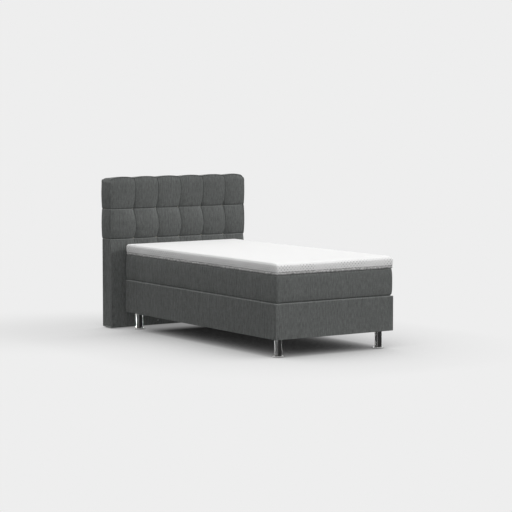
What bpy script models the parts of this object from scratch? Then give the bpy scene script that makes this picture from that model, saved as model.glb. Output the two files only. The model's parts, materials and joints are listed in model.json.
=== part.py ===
"""Box spring bed: an upholstered base on metal legs, a mattress, a topper and a tufted headboard.

Metres, +Z up. The origin is on the floor, under the middle of the bed's outline. The head end is towards +Y.
"""

import math

import bmesh
import bpy
from mathutils import Vector

# Bed outline and heights
BED_LENGTH = 2.000
BED_WIDTH = 0.980
LEG_HEIGHT = 0.1240
BASE_HEIGHT = 0.2420
MATTRESS_HEIGHT = 0.1970
TOPPER_HEIGHT = 0.0650
GAP = 0.0003

# Headboard
HEADBOARD_WIDTH = 1.186
HEADBOARD_HEIGHT = 1.135
HEADBOARD_DEPTH = 0.143
HEADBOARD_STANDOFF = 0.028
TUFT_COLUMNS = 6
TUFT_ROW_HEIGHT = 0.223
TUFT_ROWS = 2
TUFT_TOP_ROOM = 0.014
TUFT_DEPTH = 0.020
TUFT_FADE = 0.110
TUFT_SIDE_SWELL = 0.006
HEADBOARD_FRONT_ROUND = 0.016
HEADBOARD_BACK_ROUND = 0.008
HEADBOARD_WALL = 0.014
HEADBOARD_FRONT_PADDING = 0.034
HEADBOARD_FOAM = 0.035
HEADBOARD_BOARD = 0.012
HEADBOARD_CLOTH = 0.0015
HEADBOARD_STILE_WIDTH = 0.070
HEADBOARD_RAIL_HEIGHT = 0.080
HEADBOARD_GLIDE_HEIGHT = 0.006
HEADBOARD_GLIDE_RADIUS = 0.015
HEADBOARD_GLIDE_INSET = 0.090

# Base
BASE_ROUND = 0.008
BASE_ROUND_STEPS = 3
BASE_WALL = 0.014
DUST_COVER = 0.0015
RAIL_THICKNESS = 0.022
BLOCK_SIDE = 0.090
BEAM_HEIGHT = 0.045
BEAM_WIDTH = 0.045
SLAT_COUNT = 4
SLAT_WIDTH = 0.070
SLAT_THICKNESS = 0.018
TIMBER_EDGE = 0.0015
BASE_FOAM = 0.025
BASE_FELT = 0.005
BASE_SPRING_CLEARANCE = 0.014
SPRING_PITCH = 0.076
BARREL_STEPS = 3
BARREL_SINK_SHARE = 0.28

# Legs
LEG_INSET_SIDE = 0.071
LEG_INSET_FOOT = 0.077
LEG_INSET_HEAD = 0.085
LEG_RADIUS = 0.025
LEG_WALL = 0.002
LEG_PLUG_RIM = 0.003
LEG_PLUG_DEPTH = 0.014
LEG_FLANGE_RADIUS = 0.038
LEG_FLANGE_THICKNESS = 0.005
LEG_FLANGE_EDGE = 0.0012
LEG_SPIGOT_HEIGHT = 0.008
LEG_GLIDE_RADIUS = 0.034
LEG_GLIDE_THICKNESS = 0.002
STUD_RADIUS = 0.005
STUD_LENGTH = 0.038
STUD_CLEARANCE = 0.0005

# Bolts between base and headboard
BOLT_INSET = 0.170
BOLT_HEIGHT = 0.240
BOLT_RADIUS = 0.004
BOLT_CLEARANCE = 0.0005
BOLT_HEAD_RADIUS = 0.008
BOLT_HEAD_HEIGHT = 0.006
BOLT_GRIP_IN_RAIL = 0.030
SPACER_RADIUS = 0.016

# Mattress
MATTRESS_INSET = 0.0010
MATTRESS_BULGE = 0.006
MATTRESS_EDGE = 0.026
MATTRESS_CORNER = 0.028
MATTRESS_WALL = 0.032
MATTRESS_QUILT = 0.014
MATTRESS_UNDERSIDE = 0.003
MATTRESS_EDGE_FOAM = 0.060
MATTRESS_LOWER_FOAM = 0.020
MATTRESS_UPPER_FOAM = 0.030

# Topper
TOPPER_INSET = 0.0005
TOPPER_EDGE = 0.016
TOPPER_CORNER = 0.024
TOPPER_WALL = 0.009
TOPPER_RIM = 0.036
TOPPER_UNDERSIDE = 0.003

# Cutters run this far past what they cut
OVERRUN = 0.010
ROUND_SIDES = 24
MERGE = 0.00001

# Stations across a sewn pad, from one seam to the next, as shares of its half width
PAD_STATION_SHARES = (-1.0, -0.80, -0.34, 0.34, 0.80)
FADE_STATION_SHARES = (0.22, 0.62, 1.0)
PAD_POWER = 2.6
PAD_FALL = 0.55

# Turns of the headboard's border, from the front face round to the back face
FRONT_TURNS = (math.pi / 4, math.pi / 2)
BACK_TURNS = (math.pi / 2, math.pi / 4, 0.0)

TOTAL_LENGTH = BED_LENGTH + HEADBOARD_STANDOFF + HEADBOARD_DEPTH
FOOT_Y = -TOTAL_LENGTH / 2
HEAD_Y = FOOT_Y + BED_LENGTH
BED_Y = (FOOT_Y + HEAD_Y) / 2
HEADBOARD_FRONT_Y = HEAD_Y + HEADBOARD_STANDOFF
HEADBOARD_BACK_Y = HEADBOARD_FRONT_Y + HEADBOARD_DEPTH
BASE_BOTTOM = LEG_HEIGHT
BASE_TOP = BASE_BOTTOM + BASE_HEIGHT
MATTRESS_BOTTOM = BASE_TOP + GAP
MATTRESS_TOP = MATTRESS_BOTTOM + MATTRESS_HEIGHT
TOPPER_BOTTOM = MATTRESS_TOP + GAP
TOPPER_TOP = TOPPER_BOTTOM + TOPPER_HEIGHT
BOLT_SIDES = {"left": -1, "right": 1}
BOLT_X = BED_WIDTH / 2 - BOLT_INSET


def clear_scene():
    for item in list(bpy.data.objects):
        bpy.data.objects.remove(item, do_unlink=True)


def new_collection(name):
    collection = bpy.data.collections.new(name)
    bpy.context.scene.collection.children.link(collection)
    return collection


def make_material(name, colour, roughness, metallic=0.0):
    material = bpy.data.materials.new(name)
    material.use_nodes = True
    shader = material.node_tree.nodes["Principled BSDF"]
    shader.inputs["Base Color"].default_value = (*colour, 1)
    shader.inputs["Roughness"].default_value = roughness
    shader.inputs["Metallic"].default_value = metallic
    material.diffuse_color = (*colour, 1)
    return material


clear_scene()
BED = new_collection("box_spring_bed")
CUTTERS = new_collection("cutters")
FINISHES = {
    "cover": ((0.158, 0.166, 0.161), 0.95),
    "underside": ((0.03, 0.03, 0.032), 0.95),
    "knit": ((0.90, 0.90, 0.89), 0.9),
    "foam": ((0.82, 0.79, 0.68), 0.9),
    "felt": ((0.40, 0.39, 0.37), 1.0),
    "pocket_cloth": ((0.74, 0.75, 0.76), 0.9),
    "timber": ((0.62, 0.46, 0.28), 0.7),
    "board": ((0.50, 0.38, 0.25), 0.8),
    "chrome": ((0.60, 0.60, 0.61), 0.22, 1.0),
    "steel": ((0.50, 0.50, 0.51), 0.35, 1.0),
    "plastic": ((0.03, 0.03, 0.03), 0.5),
}


def place(item, finish, parent=None, collection=None):
    """Gives an object its own material, its collection and its parent."""
    (collection or BED).objects.link(item)
    if finish:
        item.data.materials.append(make_material(item.name, *FINISHES[finish]))
    if parent:
        item.parent = parent
        item.matrix_parent_inverse = parent.matrix_world.inverted()
    return item


def empty(name, location):
    holder = bpy.data.objects.new(name, None)
    holder.location = location
    BED.objects.link(holder)
    bpy.context.view_layer.update()
    return holder


def object_of(name, shape):
    mesh = bpy.data.meshes.new(name)
    bmesh.ops.recalc_face_normals(shape, faces=shape.faces)
    shape.to_mesh(mesh)
    shape.free()
    return bpy.data.objects.new(name, mesh)


def block_shape(size):
    shape = bmesh.new()
    bmesh.ops.create_cube(shape, size=1)
    bmesh.ops.scale(shape, vec=size, verts=shape.verts)
    return shape


def block(name, low, high, finish, parent=None, rounding=0.0, segments=1):
    """A box between two corners, with its edges rounded or eased."""
    low = Vector(low)
    high = Vector(high)
    item = object_of(name, block_shape(high - low))
    item.location = (low + high) / 2
    if rounding:
        bevel = item.modifiers.new("round", "BEVEL")
        bevel.width = rounding
        bevel.segments = segments
        bevel.limit_method = "NONE"
    return place(item, finish, parent)


def cutter_from(item):
    item.hide_render = True
    item.display_type = "WIRE"
    CUTTERS.objects.link(item)
    return item


def block_cutter(name, low, high):
    low = Vector(low)
    high = Vector(high)
    item = object_of(name, block_shape(high - low))
    item.location = (low + high) / 2
    return cutter_from(item)


def rod_cutter(name, radius, start, end):
    """A round cutter from start to end, along one axis."""
    start = Vector(start)
    end = Vector(end)
    span = end - start
    ends = {"radius1": radius, "radius2": radius, "depth": span.length}
    shape = bmesh.new()
    bmesh.ops.create_cone(shape, cap_ends=True, segments=ROUND_SIDES, **ends)
    item = object_of(name, shape)
    item.location = (start + end) / 2
    item.rotation_euler = span.to_track_quat("Z", "Y").to_euler()
    return cutter_from(item)


def cut(item, cutter):
    boolean = item.modifiers.new(cutter.name, "BOOLEAN")
    boolean.operation = "DIFFERENCE"
    boolean.solver = "EXACT"
    boolean.object = cutter


def turned(name, profile, location, finish, ring=False, towards=None):
    """A turned piece. Its profile of radius and height runs from the top down the outer side."""
    mesh = bpy.data.meshes.new(name)
    edges = [(i, i + 1) for i in range(len(profile) - 1)]
    if ring:
        edges.append((len(profile) - 1, 0))
    mesh.from_pydata([(radius, 0, height) for radius, height in profile], edges, [])
    item = bpy.data.objects.new(name, mesh)
    screw = item.modifiers.new("turn", "SCREW")
    screw.steps = ROUND_SIDES
    screw.render_steps = ROUND_SIDES
    screw.use_merge_vertices = True
    screw.merge_threshold = MERGE
    screw.use_smooth_shade = True
    item.location = location
    if towards:
        item.rotation_euler = Vector(towards).to_track_quat("Z", "Y").to_euler()
    return place(item, finish)


def ring_profile(inner, outer, low, high):
    return [(inner, high), (outer, high), (outer, low), (inner, low)]


def disc_profile(radius, low, high):
    return [(0, high), (radius, high), (radius, low), (0, low)]


# Soft blocks: the mattress and the topper


def soft_block(name, low, high, edge, corner, bulge, finish, parent):
    """A crowned block: a coarse cage whose sides swell in the middle, rounded by subdivision."""
    low = Vector(low)
    high = Vector(high)
    size = high - low
    half = size / 2
    shape = block_shape(size)
    cuts = [(axis, side * (half[axis] - corner)) for axis in (0, 1) for side in (-1, 1)]
    cuts += [(2, 0.0), (2, half.z - edge), (2, edge - half.z)]
    for axis, offset in cuts:
        normal = Vector((0, 0, 0))
        normal[axis] = 1
        geometry = shape.verts[:] + shape.edges[:] + shape.faces[:]
        bmesh.ops.bisect_plane(shape, geom=geometry, plane_co=normal * offset, plane_no=normal, dist=MERGE)
    for vertex in shape.verts:
        crown = 1 - (vertex.co.z / half.z) ** 2
        for axis in (0, 1):
            if abs(vertex.co[axis]) > half[axis] - MERGE:
                vertex.co[axis] -= math.copysign(bulge * (1 - crown), vertex.co[axis])
    item = object_of(name, shape)
    item.data.shade_smooth()
    item.location = (low + high) / 2
    rounding = item.modifiers.new("soften", "SUBSURF")
    rounding.levels = 1
    rounding.render_levels = 1
    return place(item, finish, parent)


def spring_unit(name, low, high, parent=None):
    """A pocket spring unit: the outline of its outer barrels, raised to the springs' height."""
    low = Vector(low)
    high = Vector(high)
    centre = (low + high) / 2
    half = (high - low) / 2
    curve = bpy.data.curves.new(name, "CURVE")
    curve.dimensions = "2D"
    curve.fill_mode = "BOTH"
    curve.extrude = half.z
    across = max(1, round(2 * half.x / SPRING_PITCH))
    along = max(1, round(2 * half.y / SPRING_PITCH))
    corners = [(half.x, -half.y), (half.x, half.y), (-half.x, half.y), (-half.x, -half.y)]
    outline = []
    for index, count in enumerate((along, across, along, across)):
        start = Vector(corners[index])
        side = Vector(corners[(index + 1) % len(corners)]) - start
        step = side / count
        outward = Vector((side.y, -side.x)).normalized()
        sink = step.length * BARREL_SINK_SHARE
        for barrel in range(count):
            for turn in range(BARREL_STEPS):
                share = turn / BARREL_STEPS
                depth = sink * (1 - math.sin(math.pi * share))
                outline.append(start + step * (barrel + share) - outward * depth)
    spline = curve.splines.new("POLY")
    spline.points.add(len(outline) - 1)
    for point, place_on in zip(spline.points, outline):
        point.co = (place_on.x, place_on.y, 0, 1)
    spline.use_cyclic_u = True
    item = bpy.data.objects.new(name, curve)
    item.location = centre
    return place(item, "pocket_cloth", parent)


def frame_ring(name, low, high, wall, finish, parent):
    """A rectangular ring of foam: a block with its middle cut out."""
    item = block(name, low, high, finish, parent)
    inner_low = (low[0] + wall, low[1] + wall, low[2] - OVERRUN)
    inner_high = (high[0] - wall, high[1] - wall, high[2] + OVERRUN)
    cut(item, block_cutter(name + "_middle", inner_low, inner_high))
    return item


# Base

BASE_IN_X = BED_WIDTH / 2 - BASE_WALL
BASE_IN_LOW_Y = FOOT_Y + BASE_WALL
BASE_IN_HIGH_Y = HEAD_Y - BASE_WALL
FOAM_TOP = BASE_TOP - BASE_WALL - GAP
FELT_TOP = FOAM_TOP - BASE_FOAM - GAP
FRAME_TOP = FELT_TOP - BASE_FELT - GAP
FRAME_BOTTOM = BASE_BOTTOM + DUST_COVER + GAP
SLAT_BOTTOM = FRAME_BOTTOM + BEAM_HEIGHT + GAP
SLAT_TOP = SLAT_BOTTOM + SLAT_THICKNESS
RAIL_OUT_X = BASE_IN_X - GAP
RAIL_IN_X = RAIL_OUT_X - RAIL_THICKNESS
RAIL_OUT_LOW_Y = BASE_IN_LOW_Y + GAP
RAIL_IN_LOW_Y = RAIL_OUT_LOW_Y + RAIL_THICKNESS
RAIL_OUT_HIGH_Y = BASE_IN_HIGH_Y - GAP
RAIL_IN_HIGH_Y = RAIL_OUT_HIGH_Y - RAIL_THICKNESS

LEG_PLACES = {
    "foot_left": (LEG_INSET_SIDE - BED_WIDTH / 2, FOOT_Y + LEG_INSET_FOOT),
    "foot_right": (BED_WIDTH / 2 - LEG_INSET_SIDE, FOOT_Y + LEG_INSET_FOOT),
    "head_left": (LEG_INSET_SIDE - BED_WIDTH / 2, HEAD_Y - LEG_INSET_HEAD),
    "head_right": (BED_WIDTH / 2 - LEG_INSET_SIDE, HEAD_Y - LEG_INSET_HEAD),
}


def stud_hole(corner):
    x, y = LEG_PLACES[corner]
    start = (x, y, BASE_BOTTOM - OVERRUN)
    end = (x, y, BASE_BOTTOM + STUD_LENGTH + OVERRUN)
    return rod_cutter(corner + "_stud_hole", STUD_RADIUS + STUD_CLEARANCE, start, end)


def bolt_hole(side):
    x = BOLT_SIDES[side] * BOLT_X
    start = (x, RAIL_IN_HIGH_Y - OVERRUN, BOLT_HEIGHT)
    end = (x, BOLT_END_Y + OVERRUN, BOLT_HEIGHT)
    return rod_cutter(side + "_bolt_hole", BOLT_RADIUS + BOLT_CLEARANCE, start, end)


def build_base(stud_holes, bolt_holes):
    for side, sign in BOLT_SIDES.items():
        near, far = sorted((sign * RAIL_IN_X, sign * RAIL_OUT_X))
        low = (near, RAIL_OUT_LOW_Y, FRAME_BOTTOM)
        high = (far, RAIL_OUT_HIGH_Y, FRAME_TOP)
        block("base_side_rail_" + side, low, high, "timber", rounding=TIMBER_EDGE)
    end_x = RAIL_IN_X - GAP
    low = (-end_x, RAIL_OUT_LOW_Y, FRAME_BOTTOM)
    block("base_foot_rail", low, (end_x, RAIL_IN_LOW_Y, FRAME_TOP), "timber", rounding=TIMBER_EDGE)
    low = (-end_x, RAIL_IN_HIGH_Y, FRAME_BOTTOM)
    high = (end_x, RAIL_OUT_HIGH_Y, FRAME_TOP)
    head_rail = block("base_head_rail", low, high, "timber", rounding=TIMBER_EDGE)
    beam_low = (-BEAM_WIDTH / 2, RAIL_IN_LOW_Y + GAP, FRAME_BOTTOM)
    beam_high = (BEAM_WIDTH / 2, RAIL_IN_HIGH_Y - GAP, FRAME_BOTTOM + BEAM_HEIGHT)
    block("base_centre_beam", beam_low, beam_high, "timber", rounding=TIMBER_EDGE)
    build_slats(end_x)
    build_corner_blocks(stud_holes)

    springs_x = RAIL_IN_X - BASE_SPRING_CLEARANCE
    springs_low = (-springs_x, RAIL_IN_LOW_Y + BASE_SPRING_CLEARANCE, SLAT_TOP + GAP)
    springs_high = (springs_x, RAIL_IN_HIGH_Y - BASE_SPRING_CLEARANCE, FRAME_TOP)
    spring_unit("base_spring_unit", springs_low, springs_high)

    layer_low = (-RAIL_OUT_X, RAIL_OUT_LOW_Y, FELT_TOP - BASE_FELT)
    block("base_felt_pad", layer_low, (RAIL_OUT_X, RAIL_OUT_HIGH_Y, FELT_TOP), "felt")
    layer_low = (-RAIL_OUT_X, RAIL_OUT_LOW_Y, FOAM_TOP - BASE_FOAM)
    block("base_foam", layer_low, (RAIL_OUT_X, RAIL_OUT_HIGH_Y, FOAM_TOP), "foam")

    cover_low = (-BED_WIDTH / 2, FOOT_Y, BASE_BOTTOM)
    cover_high = (BED_WIDTH / 2, HEAD_Y, BASE_TOP)
    cover = block("base_cover", cover_low, cover_high, "cover", None, BASE_ROUND, BASE_ROUND_STEPS)
    cover.data.shade_smooth()
    pocket_low = (-BASE_IN_X, BASE_IN_LOW_Y, BASE_BOTTOM - OVERRUN)
    cut(cover, block_cutter("base_pocket", pocket_low, (BASE_IN_X, BASE_IN_HIGH_Y, BASE_TOP - BASE_WALL)))

    dust_low = (-RAIL_OUT_X, RAIL_OUT_LOW_Y, BASE_BOTTOM)
    dust_high = (RAIL_OUT_X, RAIL_OUT_HIGH_Y, BASE_BOTTOM + DUST_COVER)
    dust_cover = block("base_dust_cover", dust_low, dust_high, "underside")
    for hole in stud_holes.values():
        cut(dust_cover, hole)
    for hole in bolt_holes.values():
        cut(head_rail, hole)
        cut(cover, hole)


def build_slats(end_x):
    room = RAIL_IN_HIGH_Y - RAIL_IN_LOW_Y
    for index in range(SLAT_COUNT):
        y = RAIL_IN_LOW_Y + room * (index + 0.5) / SLAT_COUNT
        low = (-end_x, y - SLAT_WIDTH / 2, SLAT_BOTTOM)
        high = (end_x, y + SLAT_WIDTH / 2, SLAT_TOP)
        block(f"base_slat_{index + 1}", low, high, "timber", rounding=TIMBER_EDGE)


def build_corner_blocks(stud_holes):
    for corner, (x, y) in LEG_PLACES.items():
        out_x = math.copysign(RAIL_IN_X - GAP, x)
        in_x = out_x - math.copysign(BLOCK_SIDE, x)
        out_y = RAIL_IN_LOW_Y + GAP if y < BED_Y else RAIL_IN_HIGH_Y - GAP
        in_y = out_y + BLOCK_SIDE if y < BED_Y else out_y - BLOCK_SIDE
        low = (min(in_x, out_x), min(in_y, out_y), FRAME_BOTTOM)
        high = (max(in_x, out_x), max(in_y, out_y), FRAME_BOTTOM + BEAM_HEIGHT)
        item = block("base_corner_block_" + corner, low, high, "timber", rounding=TIMBER_EDGE)
        cut(item, stud_holes[corner])


# Legs


def build_leg(corner):
    x, y = LEG_PLACES[corner]
    bore = LEG_RADIUS - LEG_WALL
    spigot = bore - GAP
    flange_low = LEG_GLIDE_THICKNESS + GAP
    flange_top = flange_low + LEG_FLANGE_THICKNESS
    plug_top = BASE_BOTTOM - GAP
    tube_low = flange_top + GAP
    tube_top = plug_top - LEG_PLUG_RIM - GAP
    here = (x, y, 0)
    turned("leg_glide_" + corner, disc_profile(LEG_GLIDE_RADIUS, 0, LEG_GLIDE_THICKNESS), here, "plastic")
    flange = [
        (0, flange_top + LEG_SPIGOT_HEIGHT),
        (spigot, flange_top + LEG_SPIGOT_HEIGHT),
        (spigot, flange_top),
        (LEG_FLANGE_RADIUS - LEG_FLANGE_EDGE, flange_top),
        (LEG_FLANGE_RADIUS, flange_top - LEG_FLANGE_EDGE),
        (LEG_FLANGE_RADIUS, flange_low),
        (0, flange_low),
    ]
    turned("leg_foot_" + corner, flange, here, "chrome")
    tube = ring_profile(bore, LEG_RADIUS, tube_low, tube_top)
    turned("leg_tube_" + corner, tube, here, "chrome", ring=True)
    plug = [
        (0, plug_top + STUD_LENGTH),
        (STUD_RADIUS, plug_top + STUD_LENGTH),
        (STUD_RADIUS, plug_top),
        (LEG_RADIUS, plug_top),
        (LEG_RADIUS, plug_top - LEG_PLUG_RIM),
        (spigot, plug_top - LEG_PLUG_RIM),
        (spigot, plug_top - LEG_PLUG_DEPTH),
        (0, plug_top - LEG_PLUG_DEPTH),
    ]
    turned("leg_top_plug_" + corner, plug, here, "steel")


# Mattress


def build_mattress():
    lift = empty("mattress_lift", (0, BED_Y, MATTRESS_BOTTOM))
    out_x = BED_WIDTH / 2 - MATTRESS_INSET
    low_y = FOOT_Y + MATTRESS_INSET
    high_y = HEAD_Y - MATTRESS_INSET
    low = (-out_x, low_y, MATTRESS_BOTTOM)
    high = (out_x, high_y, MATTRESS_TOP)
    cover = soft_block(
        "mattress_cover", low, high, MATTRESS_EDGE, MATTRESS_CORNER, MATTRESS_BULGE, "cover", lift
    )
    in_x = out_x - MATTRESS_WALL
    in_low_y = low_y + MATTRESS_WALL
    in_high_y = high_y - MATTRESS_WALL
    pocket_top = MATTRESS_TOP - MATTRESS_QUILT
    pocket_low = (-in_x, in_low_y, MATTRESS_BOTTOM - OVERRUN)
    cut(cover, block_cutter("mattress_pocket", pocket_low, (in_x, in_high_y, pocket_top)))

    fill_x = in_x - GAP
    fill_low_y = in_low_y + GAP
    fill_high_y = in_high_y - GAP

    def layer(name, bottom, top, finish):
        return block(name, (-fill_x, fill_low_y, bottom), (fill_x, fill_high_y, top), finish, lift)

    lower_bottom = MATTRESS_BOTTOM + MATTRESS_UNDERSIDE + GAP
    upper_top = pocket_top - GAP
    core_bottom = lower_bottom + MATTRESS_LOWER_FOAM + GAP
    core_top = upper_top - MATTRESS_UPPER_FOAM - GAP
    layer("mattress_underside", MATTRESS_BOTTOM, MATTRESS_BOTTOM + MATTRESS_UNDERSIDE, "underside")
    layer("mattress_lower_foam", lower_bottom, lower_bottom + MATTRESS_LOWER_FOAM, "foam")
    layer("mattress_upper_foam", upper_top - MATTRESS_UPPER_FOAM, upper_top, "foam")
    ring_low = (-fill_x, fill_low_y, core_bottom)
    ring_high = (fill_x, fill_high_y, core_top)
    frame_ring("mattress_edge_foam", ring_low, ring_high, MATTRESS_EDGE_FOAM, "foam", lift)
    core_x = fill_x - MATTRESS_EDGE_FOAM - GAP
    core_low = (-core_x, fill_low_y + MATTRESS_EDGE_FOAM + GAP, core_bottom)
    core_high = (core_x, fill_high_y - MATTRESS_EDGE_FOAM - GAP, core_top)
    spring_unit("mattress_spring_core", core_low, core_high, lift)


# Topper


def build_topper():
    lift = empty("topper_lift", (0, BED_Y, TOPPER_BOTTOM))
    out_x = BED_WIDTH / 2 - TOPPER_INSET
    low_y = FOOT_Y + TOPPER_INSET
    high_y = HEAD_Y - TOPPER_INSET
    low = (-out_x, low_y, TOPPER_BOTTOM)
    high = (out_x, high_y, TOPPER_TOP)
    cover = soft_block("topper_cover", low, high, TOPPER_EDGE, TOPPER_CORNER, 0.0, "knit", lift)
    in_x = out_x - TOPPER_RIM
    in_low_y = low_y + TOPPER_RIM
    in_high_y = high_y - TOPPER_RIM
    pocket_top = TOPPER_TOP - TOPPER_WALL
    pocket_low = (-in_x, in_low_y, TOPPER_BOTTOM - OVERRUN)
    cut(cover, block_cutter("topper_pocket", pocket_low, (in_x, in_high_y, pocket_top)))
    fill_x = in_x - GAP
    panel_top = TOPPER_BOTTOM + TOPPER_UNDERSIDE
    panel_low = (-fill_x, in_low_y + GAP, TOPPER_BOTTOM)
    block("topper_underside", panel_low, (fill_x, in_high_y - GAP, panel_top), "knit", lift)
    core_low = (-fill_x, in_low_y + GAP, panel_top + GAP)
    block("topper_core", core_low, (fill_x, in_high_y - GAP, pocket_top - GAP), "foam", lift)


# Headboard

HEADBOARD_X = HEADBOARD_WIDTH / 2
SEAM_TOP_Z = HEADBOARD_HEIGHT - TUFT_TOP_ROOM - TUFT_ROWS * TUFT_ROW_HEIGHT
HEADBOARD_LOW_Z = HEADBOARD_GLIDE_HEIGHT + GAP
PADDING_BACK_Y = HEADBOARD_FRONT_Y + HEADBOARD_FRONT_PADDING
FOAM_BACK_Y = PADDING_BACK_Y + GAP + HEADBOARD_FOAM
BOARD_BACK_Y = FOAM_BACK_Y + GAP + HEADBOARD_BOARD
FRAME_FRONT_Y = BOARD_BACK_Y + GAP
FRAME_BACK_Y = HEADBOARD_BACK_Y - HEADBOARD_CLOTH - GAP
BOLT_END_Y = FRAME_FRONT_Y + BOLT_GRIP_IN_RAIL


def pad_height(share):
    """Height of a sewn pad, from 0 at its seams to 1 at its middle."""
    return max(0.0, 1 - abs(share) ** PAD_POWER) ** PAD_FALL


def column_share(x):
    width = HEADBOARD_WIDTH / TUFT_COLUMNS
    return 2 * (((x + HEADBOARD_X) / width) % 1) - 1


def row_share(z):
    return 2 * (((z - SEAM_TOP_Z) / TUFT_ROW_HEIGHT) % 1) - 1


def tuft_sink(x, z):
    """How far the front lies behind the crest of its pads."""
    across = pad_height(column_share(x)) if abs(x) < HEADBOARD_X else 1
    if z >= SEAM_TOP_Z:
        return TUFT_DEPTH * (1 - across * pad_height(row_share(z)))
    fade = min(1, (SEAM_TOP_Z - z) / TUFT_FADE)
    return TUFT_DEPTH * (1 - pad_height(1 - fade) * (across + (1 - across) * fade))


def side_swell(z):
    if z < SEAM_TOP_Z:
        return 0.0
    return TUFT_SIDE_SWELL * pad_height(row_share(z))


def front_stations():
    """Where the front's grid has its columns and rows."""
    pad = HEADBOARD_WIDTH / TUFT_COLUMNS
    inner = HEADBOARD_X - HEADBOARD_FRONT_ROUND
    columns = [
        -HEADBOARD_X + pad * (column + (1 + share) / 2)
        for column in range(TUFT_COLUMNS)
        for share in PAD_STATION_SHARES
    ]
    columns = [-inner] + [x for x in columns if abs(x) < inner - HEADBOARD_FRONT_ROUND / 2] + [inner]
    top = HEADBOARD_HEIGHT - HEADBOARD_FRONT_ROUND
    rows = [SEAM_TOP_Z - TUFT_FADE * share for share in FADE_STATION_SHARES] + [HEADBOARD_LOW_Z]
    rows.reverse()
    rows += [
        SEAM_TOP_Z + TUFT_ROW_HEIGHT * (row + (1 + share) / 2)
        for row in range(TUFT_ROWS)
        for share in PAD_STATION_SHARES
    ]
    rows = [z for z in rows if z < top - HEADBOARD_FRONT_ROUND / 2] + [top]
    return columns, rows


def border_rings():
    """How far out, how deep and from which face each ring of the rolled border lies, from front to back."""
    rings = []
    for turn in FRONT_TURNS:
        out = HEADBOARD_FRONT_ROUND * math.sin(turn)
        rings.append((out, HEADBOARD_FRONT_ROUND * (1 - math.cos(turn)), True))
    for turn in BACK_TURNS:
        out = HEADBOARD_FRONT_ROUND - HEADBOARD_BACK_ROUND * (1 - math.sin(turn))
        rings.append((out, HEADBOARD_BACK_ROUND * (1 - math.cos(turn)), False))
    return rings


def on_border(home, out, depth, from_front):
    """Where a point of the front's edge comes to lie on one ring of the border."""
    at_side = abs(home.x) > HEADBOARD_X - HEADBOARD_FRONT_ROUND - MERGE
    at_top = home.z > HEADBOARD_HEIGHT - HEADBOARD_FRONT_ROUND - MERGE
    share = out / HEADBOARD_FRONT_ROUND
    diagonal = math.sqrt(0.5) if at_side and at_top else 1
    x, y, z = home
    if at_side:
        x += math.copysign(diagonal * (out + share * side_swell(z)), x)
    if at_top:
        z += diagonal * out
        z -= 0 if at_side else share * TUFT_SIDE_SWELL * (1 - pad_height(column_share(x)))
    if from_front:
        return x, min(y, HEADBOARD_FRONT_Y + TUFT_DEPTH) + depth, z
    return x, HEADBOARD_BACK_Y - depth, z


def headboard_skin():
    """The padded outer form: a tufted front whose border rolls back round the sides and the top."""
    columns, rows = front_stations()
    shape = bmesh.new()
    bmesh.ops.create_grid(shape, x_segments=len(columns) - 1, y_segments=len(rows) - 1, size=0.5)
    for vertex in shape.verts:
        x = columns[round((vertex.co.x + 0.5) * (len(columns) - 1))]
        z = rows[round((vertex.co.y + 0.5) * (len(rows) - 1))]
        vertex.co = (x, HEADBOARD_FRONT_Y + tuft_sink(x, z), z)
    border = [edge for edge in shape.edges if edge.is_boundary]
    homes = {vertex: vertex.co.copy() for edge in border for vertex in edge.verts}
    for ring in border_rings():
        made = bmesh.ops.extrude_edge_only(shape, edges=border)["geom"]
        border = [item for item in made if isinstance(item, bmesh.types.BMEdge)]
        fresh = {}
        for vertex in [item for item in made if isinstance(item, bmesh.types.BMVert)]:
            before = [edge.other_vert(vertex) for edge in vertex.link_edges]
            fresh[vertex] = next(homes[other] for other in before if other in homes)
            vertex.co = on_border(fresh[vertex], *ring)
        homes = fresh
    bmesh.ops.contextual_create(shape, geom=border)
    return shape


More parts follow.
